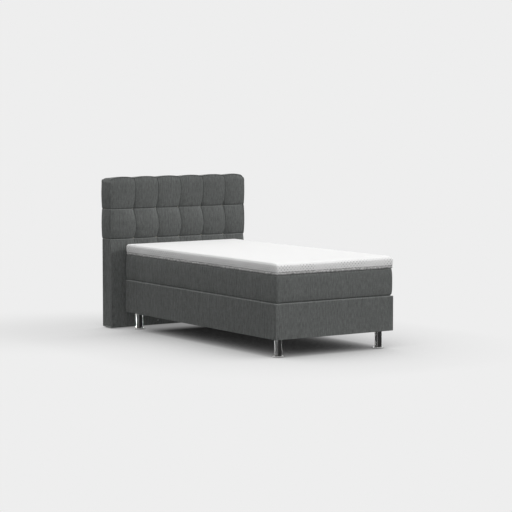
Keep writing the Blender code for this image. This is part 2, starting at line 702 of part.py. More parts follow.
def build_headboard(bolt_holes):
    cover = object_of("headboard_cover", headboard_skin())
    cover.data.shade_smooth()
    place(cover, "cover")
    in_x = HEADBOARD_X - HEADBOARD_WALL
    low_z = HEADBOARD_LOW_Z + HEADBOARD_WALL
    top_z = HEADBOARD_HEIGHT - HEADBOARD_WALL - TUFT_SIDE_SWELL
    pocket_high = (in_x, HEADBOARD_BACK_Y + OVERRUN, top_z)
    cut(cover, block_cutter("headboard_pocket", (-in_x, PADDING_BACK_Y, low_z), pocket_high))

    fill_x = in_x - GAP
    fill_low = low_z + GAP
    fill_top = top_z - GAP

    def layer(name, front, back, finish):
        return block(name, (-fill_x, front, fill_low), (fill_x, back, fill_top), finish)

    foam = layer("headboard_foam", PADDING_BACK_Y + GAP, FOAM_BACK_Y, "foam")
    board = layer("headboard_face_board", FOAM_BACK_Y + GAP, BOARD_BACK_Y, "board")
    layer("headboard_back_cloth", HEADBOARD_BACK_Y - HEADBOARD_CLOTH, HEADBOARD_BACK_Y, "underside")

    for side, sign in BOLT_SIDES.items():
        near, far = sorted((sign * fill_x, sign * (fill_x - HEADBOARD_STILE_WIDTH)))
        low = (near, FRAME_FRONT_Y, fill_low)
        block("headboard_stile_" + side, low, (far, FRAME_BACK_Y, fill_top), "timber", rounding=TIMBER_EDGE)
    rail_x = fill_x - HEADBOARD_STILE_WIDTH - GAP
    half = HEADBOARD_RAIL_HEIGHT / 2
    middles = {
        "bottom": fill_low + half,
        "bolt": BOLT_HEIGHT,
        "seam": SEAM_TOP_Z,
        "top": fill_top - half,
    }
    rails = {}
    for name, z in middles.items():
        low = (-rail_x, FRAME_FRONT_Y, z - half)
        high = (rail_x, FRAME_BACK_Y, z + half)
        rails[name] = block(f"headboard_{name}_rail", low, high, "timber", rounding=TIMBER_EDGE)
    for hole in bolt_holes.values():
        for item in (cover, foam, board, rails["bolt"]):
            cut(item, hole)
    for side, sign in BOLT_SIDES.items():
        here = (sign * (HEADBOARD_X - HEADBOARD_GLIDE_INSET), (FRAME_FRONT_Y + FRAME_BACK_Y) / 2, 0)
        disc = disc_profile(HEADBOARD_GLIDE_RADIUS, 0, HEADBOARD_GLIDE_HEIGHT)
        turned("headboard_glide_" + side, disc, here, "plastic")


def build_fixings():
    """Bolts that run from inside the base's head rail, through a spacer, into the headboard's bolt rail."""
    for side, sign in BOLT_SIDES.items():
        x = sign * BOLT_X
        start_y = RAIL_IN_HIGH_Y - GAP
        shank = BOLT_END_Y - start_y
        bolt = [
            (0, shank),
            (BOLT_RADIUS, shank),
            (BOLT_RADIUS, 0),
            (BOLT_HEAD_RADIUS, 0),
            (BOLT_HEAD_RADIUS, -BOLT_HEAD_HEIGHT),
            (0, -BOLT_HEAD_HEIGHT),
        ]
        turned("headboard_bolt_" + side, bolt, (x, start_y, BOLT_HEIGHT), "steel", towards=(0, 1, 0))
        spacer_bore = BOLT_RADIUS + BOLT_CLEARANCE
        spacer = ring_profile(spacer_bore, SPACER_RADIUS, 0, HEADBOARD_STANDOFF - 2 * GAP)
        spacer_place = (x, HEAD_Y + GAP, BOLT_HEIGHT)
        turned("headboard_spacer_" + side, spacer, spacer_place, "plastic", ring=True, towards=(0, 1, 0))


def main():
    stud_holes = {corner: stud_hole(corner) for corner in LEG_PLACES}
    bolt_holes = {side: bolt_hole(side) for side in BOLT_SIDES}
    build_base(stud_holes, bolt_holes)
    for corner in LEG_PLACES:
        build_leg(corner)
    build_mattress()
    build_topper()
    build_headboard(bolt_holes)
    build_fixings()


main()
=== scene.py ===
import json
import math

import bpy
import numpy as np
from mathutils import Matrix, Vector, noise


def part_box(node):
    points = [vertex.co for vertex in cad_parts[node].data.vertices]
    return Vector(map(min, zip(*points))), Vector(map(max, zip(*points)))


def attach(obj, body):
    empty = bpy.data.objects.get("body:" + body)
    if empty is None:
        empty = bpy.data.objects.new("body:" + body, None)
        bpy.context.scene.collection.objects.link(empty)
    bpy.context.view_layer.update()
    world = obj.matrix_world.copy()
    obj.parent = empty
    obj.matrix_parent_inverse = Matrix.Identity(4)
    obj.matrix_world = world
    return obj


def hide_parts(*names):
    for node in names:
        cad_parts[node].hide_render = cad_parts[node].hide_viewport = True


# Box spring bed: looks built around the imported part. Metres, +Z up, the headboard is towards +Y.

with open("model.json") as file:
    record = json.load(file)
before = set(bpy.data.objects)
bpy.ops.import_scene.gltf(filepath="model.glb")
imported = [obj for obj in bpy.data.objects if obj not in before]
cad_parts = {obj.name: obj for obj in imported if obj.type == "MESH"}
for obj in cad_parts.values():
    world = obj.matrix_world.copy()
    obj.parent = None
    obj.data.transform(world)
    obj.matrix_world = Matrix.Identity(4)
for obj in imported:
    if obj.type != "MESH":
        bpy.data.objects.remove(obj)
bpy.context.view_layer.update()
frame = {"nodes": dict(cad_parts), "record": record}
nodes = frame["nodes"]
print("frame loaded:", len(nodes), "nodes")


# Shader helpers

def wire(tree, source, target):
    tree.links.new(source, target)


# Adds a shader node. A socket takes a number, a colour or another node's output, and i0, i1 and so on
# are sockets by their place.
def put(tree, kind, settings=None, **sockets):
    node = tree.nodes.new("ShaderNode" + kind)
    for key, value in (settings or {}).items():
        setattr(node, key, value)
    for key, value in sockets.items():
        byPlace = key[0] == "i" and key[1:].isdigit()
        socket = node.inputs[int(key[1:]) if byPlace else key.replace("_", " ")]
        if isinstance(value, bpy.types.NodeSocket):
            wire(tree, value, socket)
        else:
            socket.default_value = value
    return node


def calc(tree, operation, a, b=0.0, c=0.0):
    return put(tree, "Math", {"operation": operation}, i0=a, i1=b, i2=c).outputs[0]


def times(tree, a, b):
    return calc(tree, "MULTIPLY", a, b)


# Carries a value from one range to another.
def ramp(tree, value, low, high, lowTo=0.0, highTo=1.0, kind="LINEAR"):
    settings = {"interpolation_type": kind}
    return put(tree, "MapRange", settings, i0=value, i1=low, i2=high, i3=lowTo, i4=highTo).outputs[0]


def blendValue(tree, share, a, b):
    return put(tree, "Mix", {"data_type": "FLOAT"}, i0=share, i2=a, i3=b).outputs[0]


def blendColour(tree, share, a, b, mode="MIX"):
    return put(tree, "Mix", {"data_type": "RGBA", "blend_type": mode}, i0=share, i6=a, i7=b).outputs[2]


def speckle(tree, vector, scale, detail=2.0, rough=0.5):
    return put(tree, "TexNoise", Vector=vector, Scale=scale, Detail=detail, Roughness=rough).outputs[0]


# A slow change between two values over a surface.
def changing(tree, vector, scale, low, high, lowTo, highTo, detail=2.0, rough=0.5):
    return ramp(tree, speckle(tree, vector, scale, detail, rough), low, high, lowTo, highTo)


def stretched(tree, vector, scale):
    return put(tree, "VectorMath", {"operation": "MULTIPLY"}, i0=vector, i1=scale).outputs[0]


def axesOf(tree, vector):
    return put(tree, "SeparateXYZ", i0=vector).outputs


# Camera, light and floor

view = {
    "place": (-7.7192, -11.6942, 1.789),
    "turn": (85.0947, 0.0, -33.6805),
    "lens": 137.03,
    "sensor": 36,
    "sight": 400,
}
light = {
    # name, from the bed towards the lamp, strength, degrees across, shadows, what it lights
    "lamps": (
        ("key", (0.72, -0.36, 0.43), 1.00, 4.0, True, "all"),
        ("frontFill", (0.0, -0.97, 0.16), 0.26, 40.0, False, "matt"),
        ("topFill", (0.0, 0.0, 1.0), 1.16, 24.0, False, "matt"),
        ("rimLeft", (-0.13, 0.99, -0.06), 0.95, 12.0, False, "metal"),
        ("rimRight", (0.99, 0.08, -0.06), 0.20, 34.0, False, "metal"),
        ("leftPanel", (-0.99, -0.10, -0.06), 0.42, 90.0, False, "metal"),
        ("tubeRim", (-0.25, 0.97, -0.06), 0.70, 10.0, False, "tubes"),
        ("tubeEdge", (0.99, 0.14, -0.06), 0.52, 10.0, False, "tubes"),
        ("tubePanel", (-0.97, -0.25, -0.06), 0.22, 30.0, False, "tubes"),
    ),
    "lampAway": 4,
    "sky": 0.505,
    "background": 0.855,
    "floorHalf": 120,
    "floorDrop": 0.0005,
    "floorBounce": 0.15,
    "floorInMetal": 0.24,
    "contactReach": 1.1,  # how far the floor's contact shade spreads
    "contactSamples": 16,
    # how open the floor is to the sky, and how bright it shows
    "contactCurve": ((0.0, 0.0), (0.06, 0.028), (0.18, 0.165), (0.28, 0.255), (0.40, 0.375), (0.51, 0.525),
                     (0.58, 0.620), (0.64, 0.690), (0.70, 0.765), (0.75, 0.815), (0.80, 0.862), (0.86, 0.908),
                     (0.88, 0.928), (1.0, 1.0)),
    # painted light: the floor's shade is lifted under the head end
    "headEndPaintedLight": (0.60, 0.87, 0.30),  # under the head end the floor is lighter: from, to, by how much
    "leftShade": ((-1.0, 1.1, 0), 1.5, 0.11),  # the headboard's soft shade: middle, reach, depth
}


def makeCamera():
    scene = bpy.context.scene
    scene.view_settings.view_transform = "Standard"
    cameraData = bpy.data.cameras.new("camera")
    cameraData.lens = view["lens"]
    cameraData.sensor_width = view["sensor"]
    cameraData.clip_end = view["sight"]
    camera = bpy.data.objects.new("camera", cameraData)
    camera.location = view["place"]
    camera.rotation_euler = [math.radians(a) for a in view["turn"]]
    scene.collection.objects.link(camera)
    scene.camera = camera


# Lamps that light "all" also show in what is glossy, "matt" ones don't, "metal" ones only show there,
# and "tubes" ones only show in the leg tubes.
def makeLamps():
    tubes = bpy.data.collections.new("legTubes")
    for name in nodes:
        if name.startswith("leg_tube_"):
            tubes.objects.link(nodes[name])
    for name, towards, strength, size, shadows, lights in light["lamps"]:
        sunData = bpy.data.lights.new(name, "SUN")
        sunData.energy = strength
        sunData.angle = math.radians(size)
        sunData.use_shadow = shadows
        sunData.cycles.use_multiple_importance_sampling = shadows
        sun = bpy.data.objects.new(name, sunData)
        sun.rotation_euler = Vector(towards).to_track_quat("Z", "Y").to_euler()
        sun.location = Vector(towards) * light["lampAway"]
        sun.visible_diffuse = lights in ("all", "matt")
        sun.visible_glossy = lights != "matt"
        if lights == "tubes":
            sun.light_linking.receiver_collection = tubes
        bpy.context.scene.collection.objects.link(sun)


def makeWorld():
    world = bpy.data.worlds.new("studio")
    world.use_nodes = True
    tree = world.node_tree
    tree.nodes.clear()
    path = put(tree, "LightPath").outputs
    seen = calc(tree, "MAXIMUM", path["Is Camera Ray"], path["Is Glossy Ray"])
    seen = calc(tree, "MAXIMUM", seen, path["Is Transmission Ray"])
    white = (1, 1, 1, 1)
    lit = put(tree, "Background", Color=white, Strength=light["sky"])
    shown = put(tree, "Background", Color=white, Strength=light["background"])
    either = put(tree, "MixShader", i0=seen, i1=lit.outputs[0], i2=shown.outputs[0])
    put(tree, "OutputWorld", Surface=either.outputs[0])
    bpy.context.scene.world = world


# The camera sees the floor as the pale background with the bed's soft shade on it, metal sees it dimmer,
# and the bed gets a little light back from it.
def makeFloor():
    mesh = bpy.data.meshes.new("floor")
    half = light["floorHalf"]
    corners = [(-half, -half, 0), (half, -half, 0), (half, half, 0), (-half, half, 0)]
    mesh.from_pydata(corners, [], [(0, 1, 2, 3)])
    floor = bpy.data.objects.new("floor", mesh)
    floor.location.z = -light["floorDrop"]
    bpy.context.scene.collection.objects.link(floor)
    material = bpy.data.materials.new("paleFloor")
    material.use_nodes = True
    tree = material.node_tree
    tree.nodes.clear()
    samples = {"samples": light["contactSamples"]}
    contact = put(tree, "AmbientOcclusion", samples, Distance=light["contactReach"])
    curve = put(tree, "FloatCurve", Value=contact.outputs["AO"])
    line = curve.mapping.curves[0].points
    for i, (x, y) in enumerate(light["contactCurve"]):
        point = line[i] if i < 2 else line.new(x, y)  # a new curve has two points
        point.location = (x, y)
        point.handle_type = "VECTOR"
    curve.mapping.update()
    place = put(tree, "TexCoord").outputs["Object"]
    # painted light: under the head end the floor's shade is lifted
    start, stop, share = light["headEndPaintedLight"]
    lift = ramp(tree, axesOf(tree, place)[1], start, stop, 0.0, share, "SMOOTHSTEP")
    shade = blendValue(tree, lift, curve.outputs[0], 1.0)
    middle, reach, depth = light["leftShade"]
    away = put(tree, "VectorMath", {"operation": "DISTANCE"}, i0=place, i1=middle).outputs["Value"]
    shade = times(tree, shade, ramp(tree, away, 0.0, reach, 1 - depth, 1.0, "SMOOTHSTEP"))
    grey = put(tree, "CombineColor", i0=shade, i1=shade, i2=shade).outputs[0]
    shown = put(tree, "Emission", Color=grey, Strength=light["background"])
    dim = put(tree, "Emission", Color=grey, Strength=light["background"] * light["floorInMetal"])
    matt = put(tree, "BsdfDiffuse", Color=(light["floorBounce"],) * 3 + (1,))
    path = put(tree, "LightPath").outputs
    inMetal = put(tree, "MixShader", i0=path["Is Glossy Ray"], i1=matt.outputs[0], i2=dim.outputs[0])
    either = put(tree, "MixShader", i0=path["Is Camera Ray"], i1=inMetal.outputs[0], i2=shown.outputs[0])
    put(tree, "OutputMaterial", Surface=either.outputs[0])
    mesh.materials.append(material)


makeCamera()
makeLamps()
makeWorld()
makeFloor()
print("stage ready")


# Shader node groups

# A group with named sockets: inputs are name, kind and value, outputs are name and kind.
def newGroup(name, inputs, outputs):
    group = bpy.data.node_groups.new(name, "ShaderNodeTree")
    kinds = {"value": "NodeSocketFloat", "colour": "NodeSocketColor", "vector": "NodeSocketVector"}
    for label, kind, value in inputs:
        socket = group.interface.new_socket(label, in_out="INPUT", socket_type=kinds[kind])
        if value is not None:
            socket.default_value = value
    for label, kind in outputs:
        group.interface.new_socket(label, in_out="OUTPUT", socket_type=kinds[kind])
    return group, group.nodes.new("NodeGroupInput").outputs, group.nodes.new("NodeGroupOutput").inputs


cloth = {
    "colour": (0.1695, 0.1775, 0.173),
    "tint": (0.72, 1.28),  # the darkest and the palest thread
    "patches": (0.93, 1.07),  # slow changes over the piece
    "gapShade": (0.35, 0.45),  # how much of the gaps shows, and how dark they are
    "rough": (0.86, 0.10),  # the least, and how much more the pale threads get
    "thread": 0.0016,
    "wobble": (180.0, 0.8),  # the threads waver: scale, share of a thread
    "under": 0.55,  # how high a thread lies where it goes under
    "gapBelow": 0.36,
    "slub": 0.85,  # how much the threads differ
    "slubRelief": 0.35,
    "relief": 0.0006,
    "sheen": 0.07,
    "shine": 0.12,
    "markSize": 0.22,
    "flatFrom": 0.72,  # what faces up more than this is flat cloth
    "sideShift": 3.7,  # sets the pattern of the sides apart from that of the front
    "slubs": (  # scale on the cloth, detail, weight
        ((120.0, 26.0, 1.0), 1.0, 0.85),  # bands of threads up the cloth
        ((150.0, 4.0, 1.0), 1.0, 0.55),
        ((480.0, 40.0, 1.0), 2.0, 0.60),
        ((26.0, 190.0, 1.0), 1.0, 0.30),  # the same, across
        ((900.0, 900.0, 1.0), 1.0, 0.35),
    ),
}


# Turns a place on the piece into a place on the cloth, by the way that the surface faces.
def makeClothPlane():
    group, given, result = newGroup(
        "clothPlane", [("Place", "vector", None), ("Facing", "vector", None)], [("On Cloth", "vector")])
    place = axesOf(group, given["Place"])
    facing = axesOf(group, given["Facing"])
    ax, ay, az = (calc(group, "ABSOLUTE", facing[i]) for i in range(3))
    sideways = calc(group, "GREATER_THAN", ax, ay)
    flat = calc(group, "GREATER_THAN", az, cloth["flatFrom"])
    notFlat = calc(group, "SUBTRACT", 1.0, flat)
    across = blendValue(group, times(group, sideways, notFlat), place[0], place[1])
    up = blendValue(group, flat, place[2], place[1])
    shift = times(group, sideways, cloth["sideShift"])
    joined = put(group, "CombineXYZ", i0=across, i1=up, i2=shift)
    wire(group, joined.outputs[0], result["On Cloth"])
    return group


# Plain weave of slubby threads: tint from thread to thread, height of the threads.
def makeWeave():
    group, given, result = newGroup(
        "slubWeave",
        [("On Cloth", "vector", None), ("Thread", "value", 0.0016), ("Slub", "value", 0.5)],
        [("Tint", "value"), ("Height", "value"), ("Gaps", "value")])
    along = put(group, "VectorMath", {"operation": "DIVIDE"}, i0=given["On Cloth"])
    spread = put(group, "CombineXYZ", i0=given["Thread"], i1=given["Thread"], i2=1.0)
    wire(group, spread.outputs[0], along.inputs[1])
    scale, share = cloth["wobble"]
    wobble = times(group, speckle(group, given["On Cloth"], scale, 1.0), share)
    part = axesOf(group, along.outputs[0])
    x = calc(group, "ADD", part[0], wobble)
    y = calc(group, "ADD", part[1], wobble)
    column = calc(group, "FLOOR", x)
    row = calc(group, "FLOOR", y)
    over = calc(group, "MODULO", calc(group, "ABSOLUTE", calc(group, "ADD", column, row)), 2.0)
    warp = calc(group, "SINE", times(group, calc(group, "SUBTRACT", x, column), math.pi))
    weft = calc(group, "SINE", times(group, calc(group, "SUBTRACT", y, row), math.pi))
    upper = blendValue(group, over, weft, warp)
    lower = blendValue(group, over, warp, weft)
    height = calc(group, "MAXIMUM", upper, times(group, lower, cloth["under"]))
    # threads differ from one to the next, and each swells and thins along its length
    mixed = None
    for scale, detail, weight in cloth["slubs"]:
        layer = speckle(group, stretched(group, given["On Cloth"], scale), 1.0, detail, 0.55)
        layer = times(group, calc(group, "SUBTRACT", layer, 0.5), weight)
        mixed = calc(group, "ADD", mixed, layer) if mixed else layer
    centred = times(group, mixed, given["Slub"])
    wire(group, calc(group, "MULTIPLY_ADD", centred, 2.0, 0.5), result["Tint"])
    wire(group, calc(group, "MULTIPLY_ADD", mixed, cloth["slubRelief"], height), result["Height"])
    wire(group, calc(group, "LESS_THAN", height, cloth["gapBelow"]), result["Gaps"])
    return group


# Spacer mesh: rows of soft-edged holes, each row set over by half a hole.
def makeMeshKnit():
    group, given, result = newGroup(
        "meshKnit",
        [("On Cloth", "vector", None), ("Cell", "value", 0.006), ("From", "value", 0.2),
         ("Whole", "value", 0.7)],
        [("Holes", "value")])
    part = axesOf(group, given["On Cloth"])
    turn = calc(group, "DIVIDE", math.pi, given["Cell"])
    across = calc(group, "SINE", times(group, part[0], turn))
    up = calc(group, "SINE", times(group, part[1], turn))
    both = times(group, across, up)
    wire(group, ramp(group, both, given["From"], given["Whole"], 0.0, 1.0, "SMOOTHSTEP"), result["Holes"])
    return group


# Slow changes over a surface, from handling.
def makeAged():
    group, given, result = newGroup(
        "agedSurface", [("Place", "vector", None), ("Size", "value", 0.15)], [("Marks", "value")])
    spots = speckle(group, given["Place"], calc(group, "DIVIDE", 1.0, given["Size"]), 5.0, 0.6)
    wire(group, spots, result["Marks"])
    return group


clothPlane = makeClothPlane()
slubWeave = makeWeave()
meshKnit = makeMeshKnit()
agedSurface = makeAged()


def useGroup(tree, group, **sockets):
    return put(tree, "Group", {"node_tree": group}, **sockets).outputs


# Place on the piece and place on the cloth, for one material.
def usePlane(tree):
    where = put(tree, "TexCoord").outputs
    onCloth = useGroup(tree, clothPlane, Place=where["Object"], Facing=where["Normal"])[0]
    return where["Object"], onCloth


def placeOn(tree):
    return put(tree, "TexCoord").outputs["Object"]


# How far a surface faces up, from -1 to 1.
def facingUp(tree):
    return axesOf(tree, put(tree, "TexCoord").outputs["Normal"])[2]


def newMaterial(name, **sockets):
    material = bpy.data.materials.new(name)
    material.use_nodes = True
    shader = material.node_tree.nodes["Principled BSDF"]
    for key, value in sockets.items():
        shader.inputs[key.replace("_", " ")].default_value = value
    return material, material.node_tree


# Wires a material's colour and relief, and its roughness where that changes over the surface.
def finished(material, colour, height, depth, strength, rough=None):
    tree = material.node_tree
    shader = tree.nodes["Principled BSDF"]
    wire(tree, colour, shader.inputs["Base Color"])
    if rough is not None:
        wire(tree, rough, shader.inputs["Roughness"])
    bump = put(tree, "Bump", Height=height, Distance=depth, Strength=strength)
    wire(tree, bump.outputs[0], shader.inputs["Normal"])
    return material


def darker(colour, share):
    return tuple(c * share for c in colour[:3]) + (1,)


# A colour between two shades of one.
def shades(tree, share, colour, low, high):
    return blendColour(tree, share, darker(colour, low), darker(colour, high))


def upholsteryMaterial():
    c = cloth
    material, tree = newMaterial("greyUpholstery", Sheen_Weight=c["sheen"], Sheen_Roughness=0.5,
                                 Specular_IOR_Level=c["shine"])
    place, onCloth = usePlane(tree)
    weave = useGroup(tree, slubWeave, On_Cloth=onCloth, Thread=c["thread"], Slub=c["slub"])
    marks = useGroup(tree, agedSurface, Place=place, Size=c["markSize"])["Marks"]
    tone = shades(tree, weave["Tint"], c["colour"], *c["tint"])
    tone = blendColour(tree, 1.0, tone, shades(tree, marks, (1, 1, 1), *c["patches"]), "MULTIPLY")
    shown, dark = c["gapShade"]
    tone = blendColour(tree, times(tree, weave["Gaps"], shown), tone, darker(c["colour"], dark))
    least, more = c["rough"]
    rough = calc(tree, "MULTIPLY_ADD", weave["Tint"], more, least)
    return finished(material, tone, weave["Height"], c["relief"], 0.55, rough)


coverCloth = upholsteryMaterial()
print("cloth ready")


# Mesh helpers

def meshPiece(name, points, faces, material):
    mesh = bpy.data.meshes.new(name)
    mesh.from_pydata([tuple(p) for p in points], [], [tuple(f) for f in faces])
    mesh.validate()
    mesh.shade_smooth()
    item = bpy.data.objects.new(name, mesh)
    bpy.context.scene.collection.objects.link(item)
    mesh.materials.append(material)
    return item


# The grid on the outside of a box, as points and the quads of each side.
def boxShell(xs, ys, zs):
    size = (len(xs), len(ys), len(zs))
    outside = np.zeros(size, bool)
    for axis in range(3):
        picked = [slice(None)] * 3
        for end in (0, -1):
            picked[axis] = end
            outside[tuple(picked)] = True
    index = -np.ones(size, int)
    places = np.argwhere(outside)
    index[outside] = np.arange(len(places))
    points = np.column_stack([xs[places[:, 0]], ys[places[:, 1]], zs[places[:, 2]]])

    def quads(grid, turned):
        made = np.stack([grid[:-1, :-1], grid[1:, :-1], grid[1:, 1:], grid[:-1, 1:]], -1).reshape(-1, 4)
        return made[:, ::-1] if turned else made

    sides = {
        "-x": quads(index[0], True), "+x": quads(index[-1], False),
        "-y": quads(index[:, 0], False), "+y": quads(index[:, -1], True),
        "-z": quads(index[:, :, 0], True), "+z": quads(index[:, :, -1], False),
    }
    return points, sides


# Rounds a box shell. plan is the two axes of its outline and depth the third. planRadius rounds the
# outline's corners, depthRadius the edges towards the depth's ends; either may be one per point.
def roundedOff(points, low, high, plan, depth, planRadius, depthRadius):
    made = points.copy()
    middle = (low + high) / 2
    half = (high - low) / 2
    planRadius = np.broadcast_to(planRadius, len(points))
    depthRadius = np.broadcast_to(depthRadius, len(points))
    flat = points[:, plan] - middle[plan]
    reach = np.abs(flat)
    inner = half[plan] - planRadius[:, None]
    beyond = reach - inner
    corner = (beyond > 1e-9).all(1)
    most = beyond.max(1)
    length = np.hypot(beyond[:, 0], beyond[:, 1])
    share = np.where(corner, most / np.maximum(length, 1e-9), 1)
    curved = inner + beyond * share[:, None]
    outline = np.where(corner[:, None], curved, reach)
    inset = np.where(corner, planRadius - most, (half[plan] - reach).min(1))
    straight = np.zeros_like(flat)
    nearest = (half[plan] - reach).argmin(1)
    straight[np.arange(len(points)), nearest] = 1
    outward = np.where(corner[:, None], beyond / np.maximum(length, 1e-9)[:, None], straight)
    # towards the depth's ends
    tall = points[:, depth] - middle[depth]
    w = np.abs(tall) - (half[depth] - depthRadius)
    u = depthRadius - inset
    edge = (w > 1e-9) & (u > 1e-9)
    scale = np.where(edge, np.maximum(u, w) / np.maximum(np.hypot(u, w), 1e-9), 1)
    moved = np.where(edge, u * (1 - scale), 0)
    outline = outline - outward * moved[:, None]
    made[:, plan] = middle[plan] + np.sign(flat) * outline
    tall = np.where(edge, np.sign(tall) * (half[depth] - depthRadius + w * scale), tall)
    made[:, depth] = middle[depth] + tall
    return made


# Steps into a rounded edge that come out evenly round the quarter turn.
def edgeSteps(radius, count):
    return [radius * (1 - math.tan(math.radians(45) * (count - i) / count)) for i in range(count + 1)]


def evenStations(low, high, step):
    count = max(1, round((high - low) / step))
    return list(np.linspace(low, high, count + 1))


# Places along one side of a box: close in its edges, even between them.
def stations(low, high, step, lowSteps, highSteps, inner=()):
    first = [low + s for s in sorted(lowSteps)]
    last = [high - s for s in sorted(highSteps, reverse=True)]
    middle = list(inner) if len(inner) else evenStations(first[-1], last[0], step)[1:-1]
    middle = [m for m in middle if first[-1] + 1e-4 < m < last[0] - 1e-4]
    return np.array(first + middle + last)


# A cover from a box shell: the quads of one side within the opening are left out, and a finer surface
# and the cloth's thickness are laid over the rest.
def coverPiece(name, points, sides, opening, material, thickness):
    side, low, high = opening
    across = [axis for axis in range(3) if "xyz"[axis] != side[1]]
    centre = points[sides[side]].mean(1)[:, across]
    within = ((centre > low[across]) & (centre < high[across])).all(1)
    kept = {**sides, side: sides[side][~within]}
    quads = np.concatenate(list(kept.values()))
    used = np.unique(quads)
    place = -np.ones(len(points), int)
    place[used] = np.arange(len(used))
    item = meshPiece(name, points[used], place[quads], material)
    rounding = item.modifiers.new("rounding", "SUBSURF")
    rounding.levels = 1
    rounding.render_levels = 1
    shell = item.modifiers.new("thickness", "SOLIDIFY")
    shell.thickness = thickness
    shell.offset = -1
    shell.use_even_offset = False
    return item


def smooth(a, b, x):
    t = np.clip((x - a) / (b - a), 0, 1)
    return t * t * (3 - 2 * t)


# A slow unevenness, one number per point.
def waves(points, size, depth, seed):
    shift = Vector((seed * 3.1, seed * 1.7, seed * 5.3))
    return np.array([noise.noise(Vector(p) / size + shift) for p in points]) * depth


def boxOf(name):
    low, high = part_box(name)
    return np.array(low), np.array(high)


# Headboard

headboard = {
    "columns": 6,
    "seams": (0.6695, 0.8930),
    "rowHeight": 0.223,
    "crownAcross": (0.0095, 0.0030),  # how far a pad's front falls to its grooves: low down, at the top
    "crownUp": 0.0082,  # and to its seams
    "lowerRow": 1.35,  # times as far in the lower row
    "calmLeft": (0.1, 0.22),  # share left under the upper seam at the left end, and where it is whole
    "crownFade": (0.04, 0.05),  # crownAcross changes between these, off the upper seam and off the top
    "crownPower": 3,
    "cornerPull": 0.0105,  # a pad falls this much further at its corners
    "pullPower": (2.6, 1.2),
    "borderCrown": 0.0135,  # the outer pads fall this far towards the sides
    "borderWidth": 0.16,
    "borderPower": 2.6,
    "leftCrown": (0.003, 0.05),  # and a little more at the left edge: how far, over what width
    "sideOut": (0.0016, 0.0080),  # the left and the right side stand out this far at the front
    "sideOutReach": (1.4, 0.3),
    "roll": 0.005,  # the last steep turn into a groove
    "rollWidth": 0.004,
    "seamRoll": 0.011,
    "rollAbove": 0.014,  # the cloth hangs over a seam from above
    "rollBelow": 0.0035,
    "panelSink": 0.002,  # the plain panel lies this far behind the pads
    "fade": 0.105,  # the columns' grooves run out this far below the lower seam
    "sideFall": (0.010, 0.005),  # left, right
    "sideRoll": (0.012, 0.004),
    "sideTop": (0.0045, 0.0010),  # how far the sides lean in under the top corners
    "sideTopSpan": (0.115, 0.06),
    "panelIn": 0.0142,  # the plain panel's sides lie this far inside the pads'
    "shift": 0.0095,  # the sewn columns sit this far to the right of the middle
    "bow": (0.0135, 0.012),  # and their lines bow out this far between two seams: lower row, upper row
    "bowFade": 0.16,  # less so near the sides
    "lean": 0.0075,  # and lie further to the right at the lower seam
    "leanFrom": 0.02,
    "topFall": 0.0095,  # how far the top falls between two pads
    "topPower": 2.2,
    "topCalm": 0.6,  # less so towards the back
    "topSlope": 0.013,  # and from its front to its back
    "topCrown": 0.002,  # and from its middle to both
    "topUp": 0.0036,  # its front stands up this far
    "topReach": (0.07, 0.004),  # all this is whole near the top, and gone this far down
    "topTilt": (0.010, 0.070),  # the front leans back under the top: how far, from how far down
    "endFall": 0.0170,  # and the top falls over its last stretch at both ends
    "endWidth": 0.105,
    "endPower": 1.5,
    "endCalm": (0.85, 0.4, 0.8),  # less so towards the back: by what share, from where, how suddenly
    "sideCrown": 0.003,
    "padEdge": 0.010,  # the pads' front edge along the top
    "padSide": 0.009,  # and down the sides
    "padSideFrom": (0.03, 0.07),
    "plainEdge": 0.008,
    "backEdge": 0.006,
    "topCorner": 0.038,
    "bottomCorner": 0.006,
    "cloth": 0.002,
    "backLip": 0.0143,  # how far the cloth goes in over the back cloth
    "backFold": 0.004,
    "backRim": (0.012, 0.35),  # how wide its folded rim is, and pressed to what share
    "rimFollows": (0.03, 0.006),  # the rim goes in with the sides between these distances from them
    "gridAcross": 0.014,  # how close the surface's lines stand
    "gridUp": 0.018,
    "gridDeep": 0.015,
    "cornerSteps": (0.0022, 0.0050, 0.0138),
    "lowSteps": (0, 0.002, 0.0045, 0.008, 0.016),
    "backSteps": (0, 0.0015, 0.0035, 0.0065),
}
besideSeam = (0.0, 0.0012, 0.003, 0.006, 0.011, 0.020, 0.034, 0.052, 0.074)


# A quarter turn: 1 at the seam, 0 from the given width on.
def rollOff(distance, width):
    u = 1 - np.clip(distance / width, 0, 1)
    return 1 - np.sqrt(np.maximum(0, 1 - u * u))


# Places along a side that crowd together at its seams.
def aroundSeams(seams, low, high, step):
    made = []
    for seam in seams:
        made += [seam + s * sign for s in besideSeam for sign in (1, -1)]
    edges = [low, *seams, high]
    for a, b in zip(edges, edges[1:]):
        start = a + (besideSeam[-1] if a != low else 0)
        stop = b - (besideSeam[-1] if b != high else 0)
        if stop - start > step:
            made += evenStations(start, stop, step)[1:-1]
    return sorted(set(round(m, 6) for m in made if low < m < high))


